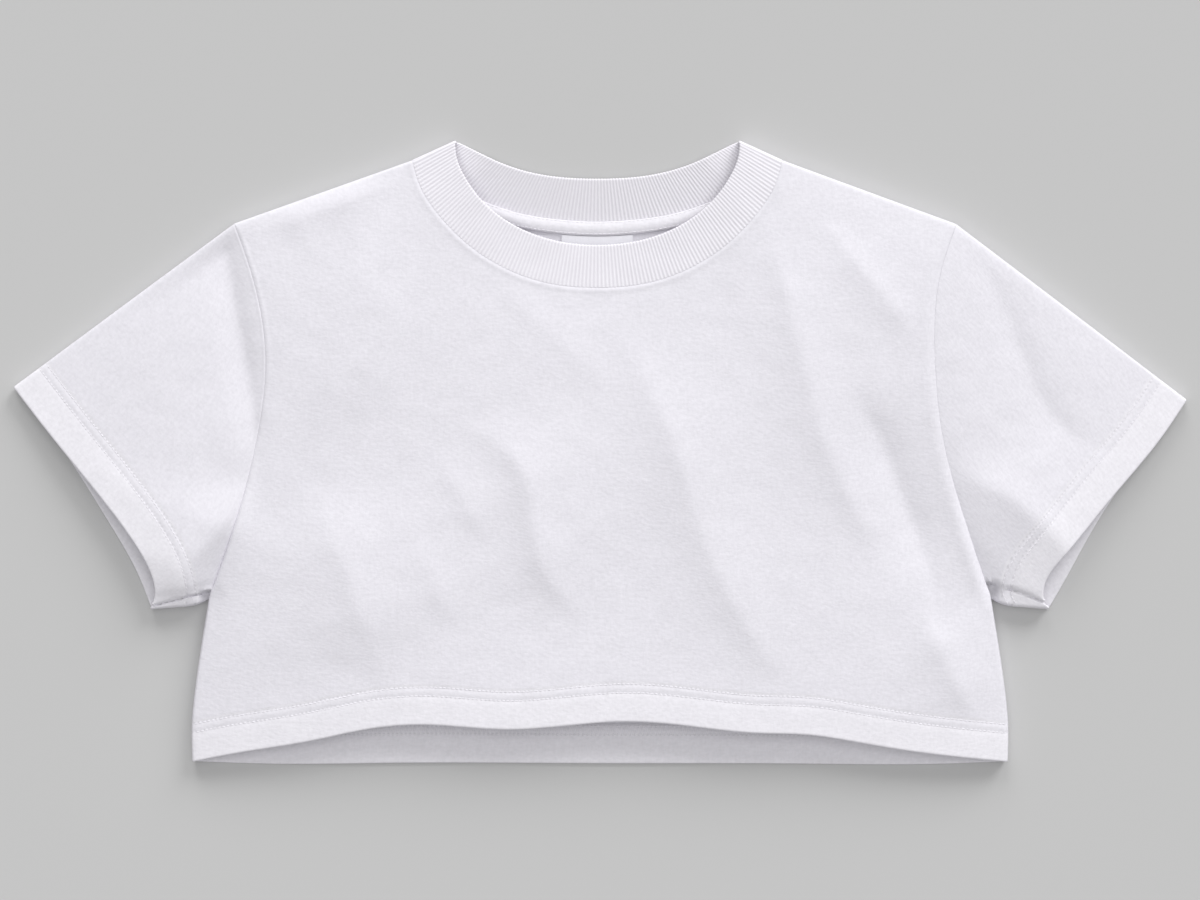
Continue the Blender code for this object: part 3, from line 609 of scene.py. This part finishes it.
def sleeve_height(side):
    def height(points):
        raised = upper_height(points, "sleeve")
        raised -= armhole_roll(points, side, True) * (raised - BEND_HEIGHT)
        raised += seam_relief(points, ARMHOLE_LINES[side], RIDGES.get(f"sleeve_{side}"))
        return below_underarm_seam(points, raised, side)
    return height


def sleeve_underside(points):
    sunk = (1.0 - PIT["height"] / BEND_HEIGHT) * pit_share(points)
    return lower_height(points, "sleeve") * (1.0 - sunk)


def back_band_height(points):
    """The back of the neckband, whose free edge stands up a little."""
    away = np.abs(nearest(points, BACK_NECK_LINE)[0]) / BAND_WIDTH
    fade = np.clip(edge_distance(points) / BAND_FADE, 0.0, 1.0)
    return lower_height(points) + BAND_LIFT * away * fade


def collar_height(points):
    return upper_height(points) + seam_relief(points, NECK_LINE)


# Walls of cloth.

Hem = namedtuple("Hem", "line depth needles")
# tone is 1 where a hem lies double or has its painted highlight, over the whole tape, which is painted
# lighter, and in
# # a rib's grooves, which are painted in shade. cut is the place on the cut cloth in metres, and sewn is
# the number of stitches
# # along a hem and the millimetres from it.
Layer = namedtuple("Layer", "points wall tone cut sewn")


def lifted(plan, height):
    """A grid of the plan as points over the surface, in metres in the frame."""
    flat = plan.reshape(-1, 2)
    points = np.column_stack([flat[:, 0], flat[:, 1] - SPAN_HEIGHT / 2, height(flat)]) * MM
    return points.reshape(*plan.shape[:2], 3)


def hemmed(plan, height, hem, upper, grain=0.0):
    """A layer of jersey with its hem turned in, its needle rows pressed in and its knit turned."""
    distance, share = nearest(plan.reshape(-1, 2), hem.line[::3]).reshape(2, *plan.shape[:2])
    distance = np.abs(distance)
    sewn = np.stack([share * length_of(hem.line) / STITCH_PITCH, distance], axis=-1)
    dents = needle_dents(distance, hem.needles)
    points = lifted(plan, height)
    points[..., 2] += dents * MM * (1.0 if upper else -1.0)
    double = np.clip((hem.depth + RAW_EDGE - distance) / RAW_EDGE, 0.0, 1.0)
    turn = math.radians(grain)
    knit = np.array([[math.cos(turn), math.sin(turn)], [-math.sin(turn), math.cos(turn)]])
    cut = (plan * MM + points[..., 2:] * WALL_SHEAR) @ knit
    return Layer(points, JERSEY + TURN_UP * double + 2 * dents, hem_double_and_painted_light(distance, hem), cut, sewn)


def ring_of(upper, lower):
    """An upper and a lower layer, joined at both bent edges into a closed grid."""
    return Layer(*[np.concatenate([up, down[:, -2::-1]], axis=1) for up, down in zip(upper, lower)])


def turned_over(layer):
    """The same layer, facing the other way."""
    return Layer(*[part[:, ::-1] for part in layer])


def outward(points, closed=False):
    """Directions out of a grid of points, from the cells around each of them."""
    if closed:
        points = np.concatenate([points[:, -2:-1], points, points[:, 1:2]], axis=1)
    cells = np.cross(points[1:, 1:] - points[:-1, :-1], points[1:, :-1] - points[:-1, 1:])
    cells /= np.maximum(np.linalg.norm(cells, axis=2), 1e-12)[..., None]
    cells = np.pad(cells, ((1, 1), (1, 1), (0, 0)), mode="edge")
    total = cells[1:, 1:] + cells[:-1, 1:] + cells[1:, :-1] + cells[:-1, :-1]
    total /= np.linalg.norm(total, axis=2)[..., None]
    return total[:, 1:-1] if closed else total


def rounded_rim(outer, inner, beyond):
    """Rows over a folded edge, from its inner face round to its outer one."""
    middle, reach = (outer + inner) / 2, (outer - inner) / 2
    away = middle - beyond
    away -= (away * reach).sum(axis=1)[:, None] * reach / (reach ** 2).sum(axis=1)[:, None]
    away *= (np.linalg.norm(reach, axis=1) / np.linalg.norm(away, axis=1))[:, None]
    turns = np.radians(np.linspace(-90.0, 90.0, RIM_POINTS + 2)[1:-1])
    return np.array([middle + reach * math.sin(turn) + away * math.cos(turn) for turn in turns])


def faces_of(layer, closed=False, relief=0.0):
    """Outer points, inner points and outward directions. relief stands out from both faces."""
    normals = outward(layer.points, closed)
    relief = np.broadcast_to(relief, layer.wall.shape)[..., None]
    outer = layer.points + normals * relief * MM
    inner = layer.points - normals * (layer.wall[..., None] + relief) * MM
    for face in (outer, inner):
        face[..., 2] = np.maximum(face[..., 2], 0.0)
    return outer, inner, normals


def cloth(name, layer, material, closed=False, relief=0.0):
    """A wall of cloth inwards from the layer's points, with a folded edge along its first row.

    A closed layer ends on its first column.
    """
    outer, inner, _ = faces_of(layer, closed, relief)
    rim = rounded_rim(outer[0], inner[0], (outer[1] + inner[1]) / 2)
    rim[..., 2] = np.maximum(rim[..., 2], 0.0)
    loop = np.concatenate([outer, inner[::-1], rim])
    cut, tone, sewn = [
        np.concatenate([part, part[::-1], np.repeat(part[:1], len(rim), axis=0)])
        for part in (layer.cut, layer.tone, layer.sewn)
    ]
    rows, columns = loop.shape[0], loop.shape[1] - (1 if closed else 0)
    row, column = np.mgrid[0:rows, 0:loop.shape[1] - 1]
    around = ((0, 0), (0, 1), (1, 1), (1, 0))
    corners = [np.stack([(row + up) % rows, column + over], axis=-1) for up, over in around]
    corners = np.stack(corners, axis=2).reshape(-1, 4, 2)
    quads = (corners[..., 0] * columns + corners[..., 1] % columns).tolist()
    maps = np.concatenate([cut, sewn], axis=-1)
    places = [maps[corners[..., 0], corners[..., 1]].reshape(-1, 4)]
    last = rows - len(rim) - 1
    for column, turn in () if closed else ((0, -1), (columns - 1, 1)):
        ends = [[first, first + 1, last - 1 - first, last - first] for first in range(len(outer) - 1)]
        for end in [*ends, [0, *range(last, rows)]]:
            quads.append([at * columns + column for at in end[::turn]])
            places.append(maps[end[::turn], column])
    mesh = bpy.data.meshes.new(name)
    mesh.from_pydata(loop[:, :columns].reshape(-1, 3).tolist(), [], quads)
    places = np.concatenate(places).astype(np.float32)
    mesh.uv_layers.new(name="cut").uv.foreach_set("vector", places[:, :2].ravel())
    mesh.uv_layers.new(name="sewn").uv.foreach_set("vector", places[:, 2:].ravel())
    tones = mesh.attributes.new("tone", "FLOAT", "POINT")
    tones.data.foreach_set("value", tone[:, :columns].astype(np.float32).ravel())
    return dressed(name, mesh, material)


def added(name, data):
    """A new object in the scene with this data."""
    made = bpy.data.objects.new(name, data)
    bpy.context.scene.collection.objects.link(made)
    return made


def dressed(name, mesh, material):
    """Puts a finished mesh into the scene as a piece."""
    mesh.materials.append(material)
    mesh.shade_smooth()
    mesh.set_sharp_from_angle(angle=math.radians(SHARPEST_CURVE))
    piece = added(name, mesh)
    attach(piece, "root")
    return piece


# Stitches.

def stitches(name, runs):
    """Short runs of thread that arch out of the cloth."""
    starts, ends, normals = [np.concatenate(parts) for parts in zip(*runs)]
    steps = np.linspace(0.0, 1.0, THREAD_RINGS)
    turns = np.linspace(0.0, 2 * math.pi, THREAD_SIDES + 1)[:-1]
    side = np.cross(normals, ends - starts)
    side /= np.linalg.norm(side, axis=1)[:, None]
    rings = []
    for step in steps:
        swell = math.sin(math.pi * (ARCH["ends"] + (1.0 - 2.0 * ARCH["ends"]) * step))
        lift = THREAD * MM * (ARCH["rise"] * swell - ARCH["sunk"])
        centre = starts + (ends - starts) * step + normals * lift
        radius = THREAD * MM * (ARCH["thin"] + (1.0 - ARCH["thin"]) * swell)
        spokes = [side * math.cos(turn) + normals * math.sin(turn) for turn in turns]
        rings.append([centre + radius * spoke for spoke in spokes])
    points = np.array(rings).transpose(2, 0, 1, 3).reshape(-1, 3)
    points[:, 2] = np.maximum(points[:, 2], 0.0)
    around, size = THREAD_SIDES, THREAD_RINGS * THREAD_SIDES
    faces = [list(range(around))[::-1], list(range(size - around, size))]
    for ring in range(0, size - around, around):
        for at in range(around):
            after = (at + 1) % around
            faces.append([ring + at, ring + after, ring + around + after, ring + around + at])
    firsts = range(0, len(points), size)
    faces = [[first + corner for corner in face] for first in firsts for face in faces]
    mesh = bpy.data.meshes.new(name)
    mesh.from_pydata(points.tolist(), [], faces)
    return dressed(name, mesh, THREAD_FINISH)


def stitch_row(path, normals, offset=0.0):
    """Starts, ends and directions of the stitches of one needle row along a path."""
    length = length_of(path) / MM
    first = np.arange(STITCH_PITCH * (FIRST_STITCH + offset), length - STITCH, STITCH_PITCH) * MM
    directions = along(path, first + STITCH / 2 * MM, normals)
    return along(path, first), along(path, first + STITCH * MM), directions


def crossing(path, other, normals):
    """The thread that crosses between two needle rows, there and back."""
    starts, _, directions = stitch_row(path, normals)
    share = np.linspace(0.0, 1.0, len(starts) + 1)
    there, back = [along(other, part * length_of(other)) for part in (share[:-1], share[1:])]
    return [(starts, there, directions), (starts, back, directions)]


def needle_runs(face, normals, hem):
    """The stitches of both needle rows on one face of a hem."""
    rows = [hem_rows(hem).index(needle) for needle in hem.needles]
    return rows, [stitch_row(face[row], normals[row], offset) for row, offset in zip(rows, ROW_OFFSETS)]


# The pieces.

def hem_rows(hem):
    """Distances of a hem's rows from its edge, close together at the needle rows."""
    rows = [(JERSEY + TURN_UP) / 2 + step for step in RIM_STEPS] + [*HEM_STEPS, sum(hem.needles) / 2]
    rows += [needle + step for needle in hem.needles for step in NEEDLE_STEPS]
    return sorted(rows + [hem.depth + step for step in TURN_UP_STEPS])


def body_plan(layer, hem, seam):
    """Plan of the front or back of the body, from its hem up."""
    count = 2 * DENSE
    flanks = [joined(spline(placed(SIDE_SEAM, side)), armhole(side, layer)) for side in SIDES]
    tips = [placed(ARMHOLE[side], side)[-1] for side in SIDES]
    shoulders = [np.linspace(tip, neck_fold(side)[1], DENSE) for tip, side in zip(tips, SIDES)]
    yoke = spline(YOKE, count)
    lower = patch(spline(hem.line, count), yoke, *flanks)
    dense = np.concatenate([lower, patch(yoke, neck_seam(layer, count), *shoulders)[1:]])
    # Thirds of the dense grid: up to the underarm, to the shoulder tips, and to the neck.
    rows = [
        (1 / 3, hem_rows(hem), [0.0], GAPS["side"]),
        (2 / 3, [0.0], BEND_STEPS, GAPS["armhole"]),
        (1.0, [0.0], seam, GAPS["shoulder"]),
    ]
    return regrid(dense, [(1.0, BEND_STEPS, BEND_STEPS, GAPS["across"])], rows)


def sewn_up(solid, name, layer, material, runs, **how):
    """A piece of jersey in the place of its solid, and its stitches."""
    piece = cloth(f"{solid}_jersey", layer, material, **how)
    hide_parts(solid)
    return piece, stitches(f"{name}_stitches", runs)


def body_panel(layer, edge, height, seam):
    """The front or back of the body. The back shows the inside of its hem, which has stitches too."""
    hem = Hem(spline(edge), HEM_DEPTH, HEM_NEEDLES)
    panel = hemmed(body_plan(layer, hem, seam), height, hem, layer == "front")
    if layer == "back":
        panel = turned_over(panel)
    outer, inner, normals = faces_of(panel)
    rows, runs = needle_runs(outer, normals, hem)
    if layer == "back":
        runs += needle_runs(inner, -normals, hem)[1]
        runs += crossing(inner[rows[0]], inner[rows[1]], -normals[rows[0]])
    return sewn_up(f"{layer}_panel", f"{layer}_hem", panel, JERSEY_FINISH, runs)


def sleeve(side):
    """One sleeve: a tube from the cuff to the armhole, laid flat."""
    tip = placed(ARMHOLE[side], side)[-1]
    layers = []
    for layer, cuff, height in (
        ("front", CUFF_FRONT, sleeve_height(side)), ("back", CUFF_BACK, sleeve_underside),
    ):
        hem = Hem(spline(placed(cuff[side], side)), CUFF_DEPTH, CUFF_NEEDLES)
        top_fold = np.linspace(hem.line[0], tip, DENSE)
        bottom_fold = spline(placed(SLEEVE_BOTTOM, side))[::-1]
        dense = patch(hem.line, armhole(side, layer)[::-1], top_fold, bottom_fold)
        columns = [(1.0, BEND_STEPS, UNDERARM_STEPS, GAPS["sleeve"])]
        plan = regrid(dense, columns, [(1.0, hem_rows(hem), SEWN_STEPS, GAPS["cuff"])])
        layers.append(hemmed(plan, height, hem, layer == "front", CUFF_ANGLE * SIDES[side]))
    ring = ring_of(*layers)
    if side == "right":
        ring = turned_over(ring)
    outer, inner, normals = faces_of(ring, True)
    runs = needle_runs(outer, normals, hem)[1] + needle_runs(inner, -normals, hem)[1]
    return sewn_up(f"sleeve_{side}", f"sleeve_{side}", ring, SLEEVE_FINISH, runs, closed=True)


def evenly(layer, count):
    """A layer with each row sampled at even steps of its length."""
    made = []
    for part in layer:
        rows = []
        for points, values in zip(layer.points, part):
            at = np.linspace(0.0, run_of(points)[-1], count + 1)
            found = along(points, at, values.reshape(len(points), -1))
            rows.append(found.reshape(count + 1, *values.shape[1:]))
        made.append(np.array(rows))
    return Layer(*made)


def neckband():
    """The ribbed band: a ring folded flat at both shoulders, with ribs on both of its faces."""
    folds = [np.linspace(*neck_fold(side), DENSE) for side in SIDES]
    edge = [RIB_WALL / 2 + step for step in BAND_STEPS]
    layers = []
    halves = (("front", FRONT_NECK_TOP, collar_height), ("back", BACK_NECK_TOP, back_band_height))
    for layer, top, height in halves:
        count = 4 * DENSE
        dense = patch(spline(mirrored(top), count), neck_seam(layer, count), *folds)
        columns = [(1.0, BEND_STEPS, BEND_STEPS, count)]
        plan = regrid(dense, columns, [(1.0, edge, SEWN_STEPS, GAPS["band"])])
        flat = plan[..., 0] * 0.0
        whole = Layer(lifted(plan, height), flat + RIB_WALL, flat, plan * MM, plan * 0.0)
        band = evenly(whole, RIBS[layer] * RIB_STEPS)
        rows, columns = band.wall.shape
        ribs, depths = np.meshgrid(np.arange(columns) / RIB_STEPS, np.linspace(0.0, 1.0, rows))
        # 1 in each groove between the ribs, where the relief sinks and the finish paints shade.
        groove = 0.5 + 0.5 * np.cos(2 * math.pi * ribs)
        cut = np.stack([ribs * RIB_PITCH, depths * BAND_WIDTH], axis=-1) * MM
        layers.append(band._replace(tone=groove, cut=cut))
    ring = turned_over(ring_of(*layers))
    piece = cloth("neck_rib_knit", ring, RIB_FINISH, closed=True, relief=RIB_RISE * (1.0 - ring.tone))
    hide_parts("neck_rib")
    return piece


def below_back_seam(reach, depth, count):
    """Points below the back neck seam, at most reach from its middle."""
    seam = neck_seam("back", 4 * DENSE)
    across = np.gradient(seam, axis=0)[:, ::-1] * (1.0, -1.0)
    moved = seam + across / np.linalg.norm(across, axis=1)[:, None] * depth
    moved = moved[np.abs(moved[:, 0] - NECK_CENTRE) <= reach]
    return along(moved, np.linspace(0.0, length_of(moved), count))


def strip(plan, wall, swell):
    """A strip of cloth on the inside of the back, whose middle stands up."""
    rows = np.linspace(-1.0, 1.0, len(plan))[:, None]
    points = lifted(plan, lambda at: np.full(len(at), JERSEY + LAID_GAP + wall))
    points[..., 2] += swell * (1.0 - rows ** 2) * MM
    flat = plan[..., 0] * 0.0
    # A tone of 1 paints the tape in the hem's lighter shade, as painted light on its swell inside the
    # neck. The label's finish does not read tone.
    return Layer(points, flat + wall, flat + 1.0, plan * MM, plan * 0.0)


def neck_tape():
    """The strip over the back neck seam, stitched along both of its long edges."""
    up, across = TAPE_GRID
    depths = np.linspace(TAPE_WIDTH - TAPE_WALL / 2, LAID_GAP, up)
    plan = np.stack([below_back_seam(TAPE_REACH, depth, across) for depth in depths])
    layer = strip(plan, TAPE_WALL, TAPE_SWELL)
    outer, _, normals = faces_of(layer)
    runs = [stitch_row(outer[row], normals[row]) for row in (1, -2)]
    return sewn_up("neck_tape", "neck_tape", layer, JERSEY_FINISH, runs)


def neck_label():
    """The blank label, under the middle of the tape."""
    width, depth = LABEL_SIZE
    up, across = LABEL_GRID
    top = below_back_seam(width / 2, TAPE_WIDTH + LAID_GAP, across)
    bottom = np.column_stack([top[:, 0], np.full(len(top), top[:, 1].min() - depth)])
    shares = np.linspace(0.0, 1.0, up)[:, None, None]
    layer = strip(bottom * (1.0 - shares) + top * shares, LABEL_WALL, LABEL_SWELL)
    piece = cloth("neck_label_satin", layer, LABEL_FINISH)
    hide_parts("neck_label")
    return piece


# Finishes.

def node(tree, kind, inputs=(), **settings):
    """Adds a node with its settings, and a value or a link for each named or numbered input."""
    made = tree.nodes.new(kind)
    for name, value in settings.items():
        setattr(made, name, value)
    for socket, value in dict(inputs).items():
        if isinstance(value, bpy.types.NodeSocket):
            tree.links.new(value, made.inputs[socket])
        else:
            made.inputs[socket].default_value = value
    return made


def finish(name, surface=None, **settings):
    """A material with these settings, and the colour and relief that surface makes for it."""
    material = bpy.data.materials.new(name)
    material.use_nodes = True
    tree = material.node_tree
    shader = tree.nodes["Principled BSDF"]
    for setting, value in settings.items():
        shader.inputs[setting.replace("_", " ")].default_value = value
    if surface:
        colour, relief, depth = surface(tree)
        inputs = {"Height": relief, "Distance": depth * MM, "Strength": 1.0}
        tree.links.new(colour, shader.inputs["Base Color"])
        tree.links.new(node(tree, "ShaderNodeBump", inputs).outputs["Normal"], shader.inputs["Normal"])
    return material


def uneven_yarn(tree, length, width, detail=2.0):
    """Grains of this length and width over the cut cloth, as a share mostly within GRAIN_RANGE."""
    place = node(tree, "ShaderNodeUVMap", uv_map="cut").outputs["UV"]
    scale = (1.0 / (length * MM), 1.0 / (width * MM), 1.0)
    place = node(tree, "ShaderNodeMapping", {"Vector": place, "Scale": scale}).outputs["Vector"]
    inputs = {"Vector": place, "Scale": 1.0, "Detail": detail}
    return node(tree, "ShaderNodeTexNoise", inputs).outputs["Fac"]


def toned(tree, plain, marked):
    """The cloth's colour, from its plain shade to its marked one by its tone. The marked shade holds
    painted light and shade: hem highlights, the lighter tape and the shade in the rib grooves.
    """
    tone = node(tree, "ShaderNodeAttribute", attribute_name="tone").outputs["Fac"]
    inputs = {0: tone, 6: linear(CLOTH_SHADES[plain]), 7: linear(CLOTH_SHADES[marked])}
    return node(tree, "ShaderNodeMix", inputs, data_type="RGBA").outputs[2]


def darkened(tree, colour, value, start, end, depth):
    """A colour that gets darker by up to depth as a value falls from end to start."""
    inputs = {"Value": value, "From Min": start, "From Max": end, "To Min": 1.0 - depth, "To Max": 1.0}
    share = node(tree, "ShaderNodeMapRange", inputs).outputs["Result"]
    grey = node(tree, "ShaderNodeCombineColor", {part: share for part in range(3)}).outputs["Color"]
    inputs = {0: 1.0, 6: colour, 7: grey}
    return node(tree, "ShaderNodeMix", inputs, data_type="RGBA", blend_type="MULTIPLY").outputs[2]


def from_needle_hole(tree, rows):
    """Distance from the nearest hole of two needle rows, in millimetres."""
    place = node(tree, "ShaderNodeUVMap", uv_map="sewn").outputs["UV"]
    inputs = {0: place, 1: (STITCH_PITCH, 1.0, 0.0)}
    place = node(tree, "ShaderNodeVectorMath", inputs, operation="MULTIPLY").outputs["Vector"]
    inputs = {0: place, 1: (STITCH_PITCH, NO_WRAP, 0.0), 2: (0.0, -NO_WRAP, 0.0)}
    place = node(tree, "ShaderNodeVectorMath", inputs, operation="WRAP").outputs["Vector"]
    gaps = {}
    for count, row in enumerate(rows):
        inputs = {0: place, 1: (STITCH_PITCH / 2, row, 0.0)}
        gaps[count] = node(tree, "ShaderNodeVectorMath", inputs, operation="DISTANCE").outputs["Value"]
    return node(tree, "ShaderNodeMath", gaps, operation="MINIMUM").outputs["Value"]


def jersey_knit(rows):
    """Bleached single jersey, washed: matt, of uneven yarn that shows as short streaks both ways.

    rows are the distances of the needle rows from a hem, where the needles have left small holes.
    """
    def surface(tree):
        colour = toned(tree, "jersey", "hem")
        grains = [uneven_yarn(tree, length, width) for length, width, _ in GRAINS]
        for grain, (*_, depth) in zip(grains, GRAINS):
            colour = darkened(tree, colour, grain, *GRAIN_RANGE, depth)
        return darkened(tree, colour, from_needle_hole(tree, rows), *HOLE), grains[0], YARN_RELIEF
    return surface


def rib_knit(tree):
    """Cotton ribbing, a little greyer in its grooves, where less light reaches the yarn."""
    return toned(tree, "rib", "groove"), uneven_yarn(tree, *RIB_YARN), YARN_RELIEF


def satin_weave(tree):
    """White satin ribbon: smooth, with its warp as fine threads down its length."""
    threads = uneven_yarn(tree, *WARP, detail=1.0)
    # The label's shade is darker than white satin: painted shade from the front of the neckband.
    colour = darkened(tree, linear(CLOTH_SHADES["label"]), threads, *GRAIN_RANGE, WARP_SHADE)
    return colour, threads, WARP_RELIEF


COTTON = {"Roughness": 0.92, "Specular_IOR_Level": 0.25, "Sheen_Weight": 0.1, "Sheen_Roughness": 0.6}
JERSEY_FINISH = finish("cotton_jersey", jersey_knit(HEM_NEEDLES), **COTTON)
SLEEVE_FINISH = finish("cotton_jersey_sleeves", jersey_knit(CUFF_NEEDLES), **COTTON)
RIB_FINISH = finish("cotton_rib", rib_knit, **COTTON)
LABEL_FINISH = finish("woven_label", satin_weave, Roughness=0.5, Specular_IOR_Level=0.4)
# Spun polyester thread, a little brighter and smoother than the cotton.
THREAD_FINISH = finish("sewing_thread", Base_Color=linear(THREAD_SHADE), Roughness=0.65)
# A matt painted table top.
FLOOR_FINISH = finish(
    "grey_surface", Base_Color=linear(FLOOR_SHADE), Roughness=0.95, Specular_IOR_Level=0.1,
)


# The whole garment, and how each piece was cut and sewn.

front, front_stitches = body_panel("front", FRONT_HEM, front_height, SEAM_STEPS)
back, back_stitches = body_panel("back", BACK_HEM, back_height, [0.0])
sleeve_left, left_stitches = sleeve("left")
sleeve_right, right_stitches = sleeve("right")
band = neckband()
tape, tape_stitches = neck_tape()
label = neck_label()


# The surface it lies on, the light and the camera.

def surface():
    size = SURFACE / 2
    mesh = bpy.data.meshes.new("surface")
    corners = [(-size, -size), (size, -size), (size, size), (-size, size)]
    mesh.from_pydata([(x, y, -SURFACE_GAP) for x, y in corners], [], [(0, 1, 2, 3)])
    mesh.materials.append(FLOOR_FINISH)
    added("surface", mesh)


def light():
    """Even light all round, two low broad lamps beyond the neck, and a soft one overhead."""
    world = bpy.data.worlds.new("soft_room")
    world.use_nodes = True
    background = world.node_tree.nodes["Background"]
    background.inputs["Color"].default_value = linear("#FFFFFF")
    background.inputs["Strength"].default_value = ROOM_LIGHT
    bpy.context.scene.world = world
    for name, lamp in LAMPS.items():
        sun = bpy.data.lights.new(name, "SUN")
        sun.energy = lamp.strength
        sun.angle = math.radians(lamp.width)
        turned = (math.radians(lamp.height - 90.0), 0.0, math.radians(lamp.turn))
        added(name, sun).rotation_euler = turned


def camera():
    lens = bpy.data.cameras.new("above")
    lens.lens = LENS
    bpy.context.scene.camera = added("above", lens)
    bpy.context.scene.camera.location = ABOVE


surface()
light()
camera()
bpy.context.scene.view_settings.view_transform = "Standard"
